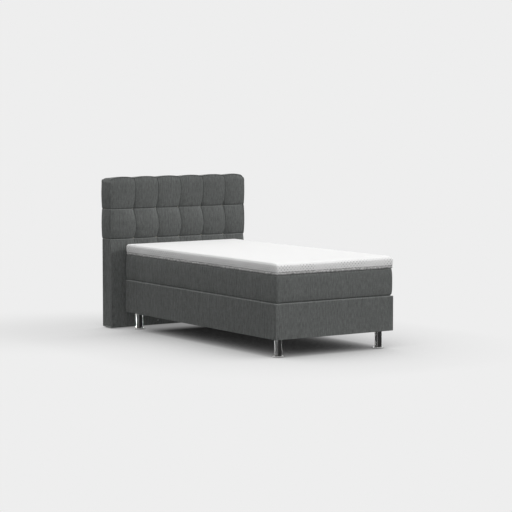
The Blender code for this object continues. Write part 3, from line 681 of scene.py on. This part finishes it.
# How far the cloth lies inside the headboard's outline, on the front, on the sides and on the top.
def headboardSink(x, z, left, pad, right, top):
    h = headboard
    lowSeam, highSeam = h["seams"]
    column = np.clip(np.round((x - h["shift"] - left) / pad), 1, h["columns"] - 1)
    groove = column * pad + left + h["shift"]
    toGroove = np.abs(x - groove)
    border = (x < left + h["shift"] + pad / 2) | (x > right + h["shift"] - pad / 2)
    share = np.where(border, 0, 1 - toGroove / (pad / 2))
    panel = z < lowSeam
    seam = np.where(z > (lowSeam + highSeam) / 2, highSeam, lowSeam)
    toSeam = np.abs(z - seam)
    rowShare = np.clip(1 - toSeam / (h["rowHeight"] / 2), 0, 1)
    below = np.clip((lowSeam - z) / h["fade"], 0, 1)
    upFall = np.where(panel, (1 - below) ** 2, rowShare ** 2)
    width = np.where(z > seam, h["rollAbove"], h["rollBelow"])
    running = np.where(panel, 1 - smooth(0.05, 1.0, below), 1.0)

    acrossRoll = np.where(border, 0, rollOff(toGroove, h["rollWidth"])) * running
    upRoll = rollOff(toSeam, width)
    pullAcross, pullUp = h["pullPower"]
    pull = share ** pullAcross * upFall ** pullUp
    lowDeep, topDeep = h["crownAcross"]
    above, under = h["crownFade"]
    deep = lowDeep + (topDeep - lowDeep) * smooth(highSeam + above, top - under, z)
    acrossFall = deep * share ** h["crownPower"] * running
    crownUp = h["crownUp"] * np.where((z < highSeam) & ~panel, h["lowerRow"], 1)
    underSeam = (z < highSeam) & (z > (lowSeam + highSeam) / 2)
    kept, reach = h["calmLeft"]
    crownUp = crownUp * np.where(underSeam, kept + (1 - kept) * smooth(left, left + reach, x), 1)
    front = acrossFall + crownUp * upFall + np.maximum(h["roll"] * acrossRoll, h["seamRoll"] * upRoll)
    front += h["cornerPull"] * pull * running + h["panelSink"] * panel * smooth(0, 1, below)

    tilt, reach = h["topTilt"]
    front += tilt * np.clip((z - top + reach) / reach, 0, 1) ** 2
    leftSide = x < 0
    side = np.where(leftSide, *h["sideFall"]) * rowShare ** 2
    under, whole = h["sideTopSpan"]
    side += np.where(leftSide, *h["sideTop"]) * smooth(top - under, top - whole, z)
    side = np.where(panel, h["panelIn"], side)
    side += np.where(leftSide, *h["sideRoll"]) * np.where(panel, rollOff(toSeam, h["rollBelow"]), upRoll)
    topSide = h["topFall"] * share ** h["topPower"]
    return front, side, topSide


def vertexNormals(points, quads):
    a, b, c, d = (points[quads[:, i]] for i in range(4))
    facing = np.cross(c - a, d - b)
    normals = np.zeros_like(points)
    for i in range(4):
        np.add.at(normals, quads[:, i], facing)
    return normals / np.maximum(np.linalg.norm(normals, axis=1), 1e-12)[:, None]


def makeHeadboard():
    h = headboard
    low, high = boxOf("headboard_cover")
    left, right, bottom, top = low[0], high[0], low[2], high[2]
    pad = (right - left) / h["columns"]
    lowSeam, highSeam = h["seams"]
    corner = sorted([*edgeSteps(h["topCorner"], 6), *h["cornerSteps"]])
    grooves = [left + h["shift"] + pad * i for i in range(1, h["columns"])]
    xs = stations(left, right, 0, corner, corner, aroundSeams(grooves, left, right, h["gridAcross"]))
    zs = stations(bottom, top, 0, h["lowSteps"], corner, aroundSeams(h["seams"], bottom, top, h["gridUp"]))
    ys = stations(low[1], high[1], h["gridDeep"], edgeSteps(h["padSide"], 7), h["backSteps"])

    points, sides = boxShell(xs, ys, zs)
    x, y, z = points.T.copy()
    inFront = y < (low[1] + high[1]) / 2
    upper = z > (bottom + top) / 2
    fromSide = right - np.abs(x)
    atSide = 1 - smooth(*h["padSideFrom"], fromSide)
    padEdge = h["padEdge"] + (h["padSide"] - h["padEdge"]) * atSide
    frontEdge = np.where(z > lowSeam, padEdge, h["plainEdge"])
    outlineCorner = np.where(upper, h["topCorner"], h["bottomCorner"])
    edge = np.where(inFront, frontEdge, h["backEdge"])
    points = roundedOff(points, low, high, [0, 2], 1, outlineCorner, edge)
    normals = vertexNormals(points, np.concatenate(list(sides.values())))
    front, side, topSide = headboardSink(x, z, left, pad, right, top)
    depthShare = 2 * (y - (low[1] + high[1]) / 2) / (high[1] - low[1])
    pinch = side.copy()
    side = side + h["sideCrown"] * depthShare ** 2 * (z > lowSeam)
    rate, most = h["sideOutReach"]
    side = side + np.where(x < 0, *h["sideOut"]) * np.minimum(depthShare * rate, most)
    weights = normals ** 2
    onBack = normals[:, 1] > 0.5
    sink = weights[:, 1] * np.where(onBack, 0, front) + weights[:, 0] * side
    sink = np.where(onBack & (weights[:, 1] > 0.98), 0, sink)
    direction = normals.copy()
    direction[:, 1] = np.where(onBack, 0, direction[:, 1])
    points = points - direction * sink[:, None]
    rimFrom, rimTo = h["rimFollows"]
    rim = smooth(right - rimFrom, right - rimTo, np.abs(x)) * (depthShare > 0.5)
    points[:, 0] -= np.sign(x) * 0.5 * pinch * (1 - weights[:, 0]) * rim

    # the outer pads fall towards the headboard's sides, and carry the rounded edge with them
    edgeShare = np.clip(1 - fromSide / h["borderWidth"], 0, 1)
    forward = np.clip((high[1] - y) / (high[1] - low[1]), 0, 1)
    leftFall, leftWidth = h["leftCrown"]
    outerFall = h["borderCrown"] * edgeShare ** h["borderPower"]
    outerFall += leftFall * np.clip(1 - (x - left) / leftWidth, 0, 1) ** 2
    points[:, 1] += outerFall * forward * smooth(lowSeam - h["fade"], lowSeam + 0.01, z)

    # the lines between the columns bow out to the right between two seams
    inLow = (z - lowSeam) / (highSeam - lowSeam)
    rowPlace = np.clip(np.where(z > highSeam, (z - highSeam) / (top - highSeam), inLow), 0, 1)
    bow = np.where(z > highSeam, h["bow"][1], h["bow"][0]) * (1 - (2 * rowPlace - 1) ** 2)
    bow = bow + h["lean"] * smooth(highSeam - h["leanFrom"], lowSeam + h["leanFrom"], z)
    within = smooth(0, h["bowFade"], fromSide)
    points[:, 0] += bow * within * (normals[:, 1] < -0.2)

    # the top falls from its ridge to the front and the back, and between two pads
    behindFace = y > high[1] - 1e-6
    lipIn = h["backLip"] + h["backFold"]
    lip = top - lipIn
    down, whole = h["topReach"]
    onBackShare = np.clip((z - lip) / (top - lip), 0, 1)
    share = np.where(behindFace, onBackShare, smooth(top - down, top - whole, z))
    fall = topSide * np.where(depthShare > 0, 1 - h["topCalm"] * depthShare, 1)
    fall += h["topSlope"] * (depthShare + 1) / 2 + h["topCrown"] * depthShare ** 2 - h["topUp"]
    toEnd = np.clip(1 - fromSide / h["endWidth"], 0, 1)
    calm, ahead, power = h["endCalm"]
    towardsBack = np.clip((depthShare + ahead) / (1 + ahead), 0, 1) ** power
    fall += h["endFall"] * toEnd ** h["endPower"] * (1 - calm * towardsBack)
    points[:, 2] -= fall * share

    # on the back the cloth ends in a folded edge round the back cloth, and its rim is pressed in
    behind = (weights[:, 1] > 0.98) & onBack
    for axis, middle, half in ((0, 0.0, right), (2, (bottom + top) / 2, (top - bottom) / 2)):
        reach = np.abs(points[:, axis] - middle)
        width, pressedTo = h["backRim"]
        limit = half - h["backEdge"] - width
        out = behind & (reach > limit)
        pressed = limit + (reach - limit) * pressedTo
        points[out, axis] = middle + np.sign(points[out, axis] - middle) * pressed[out]

    opening = ("+y", low + np.array([lipIn, 0, h["backLip"]]), high - lipIn)
    item = coverPiece("headboardUpholstery", points, sides, opening, coverCloth, h["cloth"])
    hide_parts("headboard_cover")
    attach(item, "root")
    print("headboard ready:", len(item.data.polygons), "faces")


makeHeadboard()


# Base

base = {
    "edge": 0.007,
    "lowEdge": 0.003,
    "corner": 0.0018,
    "lip": 0.0135,  # how far the cloth goes in under the base
    "lipLine": 0.0141,
    "cloth": 0.002,
    "grid": 0.03,  # how close the surface's lines stand, level and upright
    "gridUp": 0.02,
}


def makeBase():
    b = base
    low, high = boxOf("base_cover")
    steps = edgeSteps(b["edge"], 4)
    lowSteps = edgeSteps(b["lowEdge"], 3)
    side = sorted({*lowSteps, *steps[1:], b["lipLine"]})
    xs = stations(low[0], high[0], b["grid"], side, side)
    ys = stations(low[1], high[1], b["grid"], side, side)
    zs = stations(low[2], high[2], b["gridUp"], lowSteps, steps)
    points, sides = boxShell(xs, ys, zs)
    upper = points[:, 2] > (low[2] + high[2]) / 2
    points = roundedOff(points, low, high, [0, 1], 2, b["corner"], np.where(upper, b["edge"], b["lowEdge"]))
    opening = ("-z", low + b["lip"], high - b["lip"])
    item = coverPiece("baseUpholstery", points, sides, opening, coverCloth, b["cloth"])
    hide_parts("base_cover")
    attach(item, "root")
    print("base ready:", len(item.data.polygons), "faces")


makeBase()


# Mattress

mattress = {
    "edge": 0.018,
    "lowEdge": 0.0125,
    "corner": 0.018,
    "crown": 0.007,  # how far the border comes in towards its top and bottom
    "swell": 0.002,  # and stands out in its middle
    "crownPower": (3.0, 5.0),  # towards its top, towards its bottom
    "crownReach": 0.03,
    "lip": 0.032,
    "cloth": 0.0025,
    "grid": 0.02,
    "gridUp": 0.012,
}


def makeMattress():
    m = mattress
    low, high = boxOf("mattress_cover")
    side = [*edgeSteps(m["corner"], 6), m["lip"]]
    xs = stations(low[0], high[0], m["grid"], side, side)
    ys = stations(low[1], high[1], m["grid"], side, side)
    zs = stations(low[2], high[2], m["gridUp"], edgeSteps(m["lowEdge"], 4), edgeSteps(m["edge"], 4))
    points, sides = boxShell(xs, ys, zs)
    home = points.copy()
    middle = (low + high) / 2
    half = (high - low) / 2
    upper = home[:, 2] > middle[2]
    edge = np.where(upper, m["edge"], m["lowEdge"])
    points = roundedOff(points, low, high, [0, 1], 2, m["corner"], edge)
    tall = (home[:, 2] - middle[2]) / half[2]
    swell = m["crown"] * np.abs(tall) ** np.where(upper, *m["crownPower"]) - m["swell"]
    for axis in (0, 1):
        near = 1 - smooth(0, m["crownReach"], half[axis] - np.abs(points[:, axis] - middle[axis]))
        points[:, axis] -= np.sign(points[:, axis] - middle[axis]) * swell * near
    opening = ("-z", low + m["lip"], high - m["lip"])
    item = coverPiece("mattressUpholstery", points, sides, opening, coverCloth, m["cloth"])
    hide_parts("mattress_cover")
    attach(item, "mattress")
    print("mattress ready:", len(item.data.polygons), "faces")


makeMattress()


# Topper

topper = {
    "edge": 0.016,
    "lowEdge": 0.004,
    "corner": 0.014,
    "headCorner": 0.028,
    "swell": 0.0018,
    "cloth": 0.0025,
    "lip": 0.036,  # how far the cover goes in under the topper
    "opening": 0.035,
    "pinch": 0.003,  # how deep the seam over the tape goes
    "pinchWidth": 0.0022,
    "tuck": (0.001, 0.0005),  # under the seam the cover goes in: from how far down, how much deeper
    "seamUp": 0.0100,
    # the seam shows as a line of painted shade
    "seamLine": 0.0022,  # half the width of the dark line that it shows as
    "seamSteps": (0, 0.002, 0.0045, 0.007, 0.009, 0.0105, 0.012, 0.014, 0.0175),
    # the loose cover stands up: everywhere, more at the foot end, and more at its right
    "puffed": (0.0048, 0.0032, 0.0030),
    "puffedFoot": (0.6, -1.0),  # the places that it grows between
    "puffedRight": (-0.3, 0.5),
    "footFall": (0.0050, 0.06),  # and falls again towards the foot end's edge: how far, over what width
    "tapeTall": 0.0078,  # half the tape's height and half its thickness
    "tapeThick": 0.0042,
    "tapeIn": 0.003,
    "tapeStep": 0.010,
    "tapeSides": 10,
    "tapeCorner": 6,  # steps round a corner
    "tapeWave": (0.045, 0.0016),  # up and down: how long, how far
    "tapeUneven": ((0.03, 0.20), (0.05, 0.06), (0.06, 0.0006)),  # in thickness, in height, in and out
    "white": (0.95, 0.95, 0.945),
    "tint": (0.945, 0.995),
    # painted light: the sides are made paler than the top
    "sidePaintedLight": 1.05,
    "weave": (0.0022, 0.3),  # thread, slub
    "cell": 0.0130,
    "holeEdge": (0.25, 0.65),
    "holeShade": 0.30,
    "holeClear": (9.0, 0.40, 0.60, 0.06, 0.46),  # scale of the change, its range, how clear from and to
    "seamShade": 0.12,
    "seamClear": (28.0, 0.35, 0.60, 0.35, 0.95),
    "relief": (0.0004, 0.5),
    "tape": (0.60, 0.60, 0.595),
    "tapeTint": (0.82, 1.18),
    "tapeKnit": (0.0012, 0.8),
    # painted shade on the tape: in random patches for its creases, and where it faces down
    "tapeCreaseShade": (75.0, 0.35, 0.65, 0.0, 0.9),
    "tapePaintedShade": (0.35, 0.15),  # where it is crushed, where it faces down
    "tapeRelief": (0.0003, 0.5),
    "bounceCut": 0.85,  # share of its light kept off the headboard, which is as dark as the base
    "grid": 0.02,
    "gridUp": 0.008,
}


def topperMaterial():
    t = topper
    white = t["white"]
    material, tree = newMaterial("whiteKnit", Roughness=0.9, Sheen_Weight=0.05, Specular_IOR_Level=0.2)
    place, onCloth = usePlane(tree)
    thread, slub = t["weave"]
    weave = useGroup(tree, slubWeave, On_Cloth=onCloth, Thread=thread, Slub=slub)
    start, whole = t["holeEdge"]
    mesh = useGroup(tree, meshKnit, On_Cloth=onCloth, Cell=t["cell"], From=start, Whole=whole)
    onSide = calc(tree, "LESS_THAN", calc(tree, "ABSOLUTE", facingUp(tree)), 0.6)
    onTop = shades(tree, weave["Tint"], white, *t["tint"])
    # painted light: the sides are made paler than the top
    tone = blendColour(tree, onSide, onTop, darker(white, t["sidePaintedLight"]))
    # the mesh's holes are darkened with painted shade, clearer here and there
    holes = times(tree, mesh["Holes"], onSide)
    clear = changing(tree, place, *t["holeClear"])
    tone = blendColour(tree, times(tree, holes, clear), tone, darker(white, t["holeShade"]))
    # the seam over the tape is real; its thin dark line is painted shade, fainter here and there
    seamAt = boxOf("topper_cover")[0][2] + t["seamUp"]
    offSeam = calc(tree, "ABSOLUTE", calc(tree, "SUBTRACT", axesOf(tree, place)[2], seamAt))
    seamLine = ramp(tree, offSeam, t["seamLine"], t["seamLine"] * 0.4)
    clear = changing(tree, place, *t["seamClear"])
    tone = blendColour(tree, times(tree, seamLine, clear), tone, darker(white, t["seamShade"]))
    # what the topper lights gets less light from it
    softened = times(tree, put(tree, "LightPath").outputs["Is Diffuse Ray"], t["bounceCut"])
    tone = blendColour(tree, softened, tone, darker(white, 0.1))
    relief = calc(tree, "MULTIPLY_ADD", holes, -1.0, weave["Height"])
    return finished(material, tone, relief, *t["relief"])


# The knit without the mesh, for the tape and the underside, with painted shade in random patches for its
# creases and painted shade where it faces down.
def plainKnit():
    t = topper
    material, tree = newMaterial("plainKnit", Roughness=0.9, Sheen_Weight=0.05, Specular_IOR_Level=0.2)
    place, onCloth = usePlane(tree)
    thread, slub = t["tapeKnit"]
    weave = useGroup(tree, slubWeave, On_Cloth=onCloth, Thread=thread, Slub=slub)
    tone = shades(tree, weave["Tint"], t["tape"], *t["tapeTint"])
    crushed, below = t["tapePaintedShade"]
    # painted shade of creases, in random patches
    creaseShade = changing(tree, place, *t["tapeCreaseShade"], detail=3.0, rough=0.6)
    tone = blendColour(tree, creaseShade, tone, darker(t["tape"], crushed))
    # painted shade where it faces down
    down = times(tree, facingUp(tree), -0.8)
    tone = blendColour(tree, down, tone, darker(t["tape"], below))
    return finished(material, tone, weave["Height"], *t["tapeRelief"])


# Points round a rectangle with round corners, with each point's outward direction. radii are those at +y
# and at -y.
def roundRectangle(halfX, halfY, radii, step):
    places, outward = [], []
    corners = ((1, 1), (-1, 1), (-1, -1), (1, -1))
    for i, (sx, sy) in enumerate(corners):
        radius = radii[0] if sy > 0 else radii[1]
        centre = np.array([sx * (halfX - radius), sy * (halfY - radius)])
        start = math.pi / 2 * i
        for k in range(topper["tapeCorner"] + 1):
            a = start + math.pi / 2 * k / topper["tapeCorner"]
            normal = np.array([math.cos(a), math.sin(a)])
            places.append(centre + radius * normal)
            outward.append(normal)
        nextX, nextY = corners[(i + 1) % 4]
        after = radii[0] if nextY > 0 else radii[1]
        following = np.array([nextX * (halfX - after), nextY * (halfY - after)]) + after * normal
        count = max(1, round(np.linalg.norm(following - places[-1]) / step))
        last = places[-1]
        for k in range(1, count):
            places.append(last + (following - last) * k / count)
            outward.append(normal)
    return np.array(places), np.array(outward)


# A closed cord of oval section along a level path.
def bead(name, path, outward, heights, thick, tall, material):
    sides = topper["tapeSides"]
    turns = np.linspace(0, 2 * math.pi, sides, endpoint=False)
    points = []
    for place, normal, z, wide, high in zip(path, outward, heights, thick, tall):
        for turn in turns:
            flat = place + normal * wide * math.cos(turn)
            points.append((flat[0], flat[1], z + high * math.sin(turn)))
    faces = []
    for i in range(len(path)):
        here = i * sides
        following = (i + 1) % len(path) * sides
        for k in range(sides):
            after = (k + 1) % sides
            faces.append((here + k, following + k, following + after, here + after))
    return meshPiece(name, points, faces, material)


def makeTopper():
    t = topper
    low, high = boxOf("topper_cover")
    steps = edgeSteps(t["corner"], 6)
    headSteps = edgeSteps(t["headCorner"], 7)
    side = sorted([*steps, *headSteps[3:], t["lip"]])
    xs = stations(low[0], high[0], t["grid"], side, side)
    ys = stations(low[1], high[1], t["grid"], [*steps, t["lip"]], [*headSteps, t["lip"]])
    zs = stations(low[2], high[2], t["gridUp"], t["seamSteps"], edgeSteps(t["edge"], 5))
    points, sides = boxShell(xs, ys, zs)
    z = points[:, 2].copy()
    middle = (low + high) / 2
    half = (high - low) / 2
    edge = np.where(z > middle[2], t["edge"], t["lowEdge"])
    corner = np.where(points[:, 1] > middle[1], t["headCorner"], t["corner"])
    points = roundedOff(points, low, high, [0, 1], 2, corner, edge)
    normals = vertexNormals(points, np.concatenate(list(sides.values())))
    level = 1 - normals[:, 2] ** 2
    overSeam = z - low[2] - t["seamUp"]
    rise = np.clip(overSeam / (high[2] - low[2] - t["seamUp"]), 0, 1)
    out = t["swell"] * np.sin(math.pi * rise) - t["pinch"] * np.exp(-(overSeam / t["pinchWidth"]) ** 2)
    tuckFrom, deeper = t["tuck"]
    out = np.where(z < low[2] + t["seamUp"] - tuckFrom, -t["pinch"] - deeper, out)
    flat = normals.copy()
    flat[:, 2] = 0
    points += flat * (out * level)[:, None]
    towardsFoot = smooth(*t["puffedFoot"], points[:, 1])
    towardsRight = smooth(*t["puffedRight"], points[:, 0])
    everywhere, atFoot, atRight = t["puffed"]
    puff = everywhere + towardsFoot * (atFoot + atRight * towardsRight)
    depth, width = t["footFall"]
    puff = puff - depth * np.clip(1 - (points[:, 1] - low[1]) / width, 0, 1) ** 1.5
    points[:, 2] += puff * np.clip((z - middle[2]) / half[2], 0, 1)

    opening = ("-z", low + t["opening"], high - t["opening"])
    item = coverPiece("topperCover", points, sides, opening, topperMaterial(), t["cloth"])
    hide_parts("topper_cover")
    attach(item, "topper")

    corners = (t["headCorner"], t["corner"])
    path, outward = roundRectangle(half[0] - t["tapeIn"], half[1] - t["tapeIn"], corners, t["tapeStep"])
    spots = np.column_stack([path, np.zeros(len(path))])
    inThickness, inHeight, sideways = t["tapeUneven"]
    lift = waves(spots, *t["tapeWave"], 3)
    thick = t["tapeThick"] * (1 + waves(spots, *inThickness, 5))
    tall = t["tapeTall"] * (1 + waves(spots, *inHeight, 6))
    place = path + middle[:2] + outward * waves(spots, *sideways, 8)[:, None]
    tape = bead("topperTape", place, outward, low[2] + lift, thick, tall, plainKnit())
    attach(tape, "topper")
    print("topper ready:", len(item.data.polygons), "faces")


makeTopper()


# Small fixings

fixings = {
    "screwPlaces": ((-0.19, 0.040), (0.19, 0.040)),
    "screwRadius": 0.0055,
    "screwDome": 0.0026,
    "screwRim": 0.0025,  # how deep the head's rim goes in
    "screwLift": 0.0004,
    "screwSides": 24,
    "socketRadius": 0.0020,
    "socketDepth": 0.0014,
    "stapleWidth": 0.0105,
    "stapleWire": 0.0006,
    "stapleSides": 6,
    "stapleStep": 0.055,
    "stapleInset": 0.007,
    "stapleLift": 0.0002,
    "stapleAstray": (0.008, 0.002),  # how uneven they stand: along the row, across it
    "stapleTurn": 0.35,
}


# A lathe shape: profile is (radius, height) pairs from the middle outwards, turned round the given axis.
def turnedPiece(name, profile, place, axis, material):
    sides = fixings["screwSides"]
    points, faces, rings = [], [], []
    for radius, height in profile:
        if radius == 0:
            rings.append([len(points)])
            points.append((0, 0, height))
            continue
        rings.append(list(range(len(points), len(points) + sides)))
        for k in range(sides):
            turn = 2 * math.pi * k / sides
            points.append((radius * math.cos(turn), radius * math.sin(turn), height))
    for inner, outer in zip(rings, rings[1:]):
        for k in range(sides):
            a, b = inner[k % len(inner)], inner[(k + 1) % len(inner)]
            c, d = outer[(k + 1) % len(outer)], outer[k % len(outer)]
            faces.append((a, d, c, b) if a != b else (a, d, c))
    turned = Vector(axis).to_track_quat("Z", "Y")
    placed = [turned @ Vector(p) + Vector(place) for p in points]
    return meshPiece(name, placed, faces, material)


# One staple: a short wire laid on the cloth, its ends bent in.
def staplePoints(place, along, out):
    half = fixings["stapleWidth"] / 2
    thick = fixings["stapleWire"]
    bend = half - thick * 1.5
    profile = ((-half, -3), (-half, 0.2), (-bend, 1.1), (bend, 1.1), (half, 0.2), (half, -3))
    path = [place + along * a + out * thick * b for a, b in profile]
    side = np.cross(along, out)
    sides = fixings["stapleSides"]
    last = len(path) - 1
    points, faces = [], []
    for i, spot in enumerate(path):
        ahead = path[min(i + 1, last)] - path[max(i - 1, 0)]
        ahead = ahead / np.linalg.norm(ahead)
        up = np.cross(side, ahead)
        here = i * sides
        for k in range(sides):
            turn = 2 * math.pi * k / sides
            points.append(spot + (side * math.cos(turn) + up * math.sin(turn)) * thick)
            after = (k + 1) % sides
            if i < last:
                faces.append((here + k, here + after, here + sides + after, here + sides + k))
    faces += [tuple(range(sides - 1, -1, -1)), tuple(range(last * sides, len(points)))]
    return points, faces


# Staples along a closed line, a little uneven as they are put in by hand.
def stapleRow(name, corners, out, body, material, seed):
    astrayAlong, astrayAcross = fixings["stapleAstray"]
    points, faces = [], []
    out = np.array(out, float)
    for i, start in enumerate(corners):
        start = np.array(start, float)
        stop = np.array(corners[(i + 1) % len(corners)], float)
        length = np.linalg.norm(stop - start)
        along = (stop - start) / length
        across = np.cross(along, out)
        count = max(1, int(length / fixings["stapleStep"]))
        for k in range(count):
            shake = noise.noise(Vector((seed + i, k * 0.37, 2.5)))
            place = start + (stop - start) * ((k + 0.5) / count) + along * shake * astrayAlong
            place = place + across * noise.noise(Vector((seed, k * 0.71, i))) * astrayAcross
            turn = shake * fixings["stapleTurn"]
            made, sides = staplePoints(place, along * math.cos(turn) + across * math.sin(turn), out)
            faces += [tuple(v + len(points) for v in face) for face in sides]
            points += made
    item = meshPiece(name, points, faces, material)
    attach(item, body)


def makeFixings(steel):
    f = fixings
    low, high = boxOf("headboard_cover")
    radius, dome = f["screwRadius"], f["screwDome"]
    sunk = dome - f["socketDepth"]
    profile = [(0, sunk), (f["socketRadius"] * 0.9, sunk), (f["socketRadius"], dome * 0.97)]
    profile += [(radius * math.sin(a), dome * math.cos(a)) for a in np.linspace(0.5, math.pi / 2, 7)]
    profile += [(radius * 0.98, -f["screwRim"])]
    y = low[1] + headboard["panelSink"] + f["screwLift"]
    for name, (x, z) in zip(("left", "right"), f["screwPlaces"]):
        screw = turnedPiece("screwHead_" + name, profile, (x, y, z), (0, -1, 0), steel)
        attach(screw, "root")

    low, high = boxOf("base_dust_cover")
    a = low + f["stapleInset"]
    b = high - f["stapleInset"]
    z = low[2] - f["stapleLift"]
    corners = [(a[0], a[1], z), (b[0], a[1], z), (b[0], b[1], z), (a[0], b[1], z)]
    stapleRow("baseStaples", corners, (0, 0, -1), "root", steel, 2)
    low, high = boxOf("headboard_back_cloth")
    a = low + f["stapleInset"]
    b = high - f["stapleInset"]
    y = high[1] + f["stapleLift"]
    corners = [(a[0], y, a[2]), (b[0], y, a[2]), (b[0], y, b[2]), (a[0], y, b[2])]
    stapleRow("headboardStaples", corners, (0, 1, 0), "root", steel, 7)
    print("fixings ready")


# Metal, plastic and inner pieces: the CAD nodes keep their shape

def metalMaterial(name, colour, roughness, metallic=1.0):
    material, tree = newMaterial(name, Metallic=metallic, Roughness=roughness)
    place = placeOn(tree)
    drawn = speckle(tree, stretched(tree, place, (900.0, 900.0, 14.0)), 1.0, 3.0, 0.6)
    tone = shades(tree, speckle(tree, place, 35.0, 3.0), colour, 0.93, 1.07)
    rough = calc(tree, "MULTIPLY_ADD", drawn, 0.14, roughness - 0.07)
    return finished(material, tone, drawn, 0.00006, 0.4, rough)


def plasticMaterial():
    material, tree = newMaterial("blackPlastic", Roughness=0.5)
    grain = speckle(tree, placeOn(tree), 700.0)
    tone = blendColour(tree, grain, (0.018, 0.018, 0.019, 1), (0.034, 0.034, 0.036, 1))
    rough = calc(tree, "MULTIPLY_ADD", grain, 0.25, 0.4)
    return finished(material, tone, grain, 0.0001, 0.5, rough)


def timberMaterial(name, pale, dark, along):
    material, tree = newMaterial(name, Roughness=0.7)
    place = placeOn(tree)
    rings = speckle(tree, stretched(tree, place, along), 1.0, 4.0, 0.6)
    pores = speckle(tree, stretched(tree, place, tuple(a * 6 for a in along)), 1.0, 2.0, 0.6)
    grain = calc(tree, "MULTIPLY_ADD", pores, 0.3, times(tree, rings, 0.7))
    rough = calc(tree, "MULTIPLY_ADD", pores, 0.2, 0.6)
    return finished(material, blendColour(tree, grain, pale, dark), pores, 0.0003, 0.5, rough)


def foamMaterial(name, colour, pore, depth):
    material, tree = newMaterial(name, Roughness=0.95, Specular_IOR_Level=0.2)
    cells = put(tree, "TexVoronoi", Vector=placeOn(tree), Scale=pore).outputs["Distance"]
    tone = shades(tree, cells, colour, 0.8, 1)
    return finished(material, tone, cells, depth, 0.6)


# Thin bonded cloth: a matt felted surface with a pressed grid of dots.
def bondedMaterial(name, colour):
    material, tree = newMaterial(name, Specular_IOR_Level=0.3)
    place, onCloth = usePlane(tree)
    flat = {"voronoi_dimensions": "2D"}
    dots = put(tree, "TexVoronoi", flat, Vector=onCloth, Scale=420.0, Randomness=0.0)
    fibre = speckle(tree, place, 1400.0, 3.0, 0.7)
    tone = shades(tree, fibre, colour, 0.7, 1.3)
    rough = calc(tree, "MULTIPLY_ADD", fibre, 0.2, 0.75)
    return finished(material, tone, dots.outputs["Distance"], 0.0002, 0.5, rough)


def dressNodes():
    finishes = {
        "leg_chrome": metalMaterial("satinChrome", (0.105, 0.105, 0.104), 0.23),
        "fixing_steel": metalMaterial("zincSteel", (0.55, 0.55, 0.56), 0.35),
        "black_plastic": plasticMaterial(),
        "timber": timberMaterial("spruce", (0.62, 0.46, 0.28, 1), (0.45, 0.30, 0.16, 1), (40.0, 3.0, 40.0)),
        "board": timberMaterial("chipboard", (0.55, 0.42, 0.28, 1), (0.36, 0.26, 0.16, 1), (120.0,) * 3),
        "foam": foamMaterial("creamFoam", (0.80, 0.76, 0.62, 1), 500.0, 0.0006),
        "felt": foamMaterial("greyFelt", (0.36, 0.35, 0.33, 1), 1200.0, 0.0003),
        "pocket_cloth": bondedMaterial("pocketCloth", (0.70, 0.71, 0.72)),
        "underside_cloth": bondedMaterial("blackBondedCloth", (0.028, 0.028, 0.030)),
        "topper_knit": bpy.data.materials["plainKnit"],
    }
    disc = metalMaterial("brushedFoot", (0.70, 0.70, 0.69), 0.42, 0.5)
    for row in frame["record"]["subparts"]:
        slot = row["material_slot"]
        if slot in finishes:
            item = nodes[row["node"]]
            item.data.materials.clear()
            item.data.materials.append(disc if row["node"].startswith("leg_foot_") else finishes[slot])
    makeFixings(finishes["fixing_steel"])
    print("CAD nodes dressed")


dressNodes()
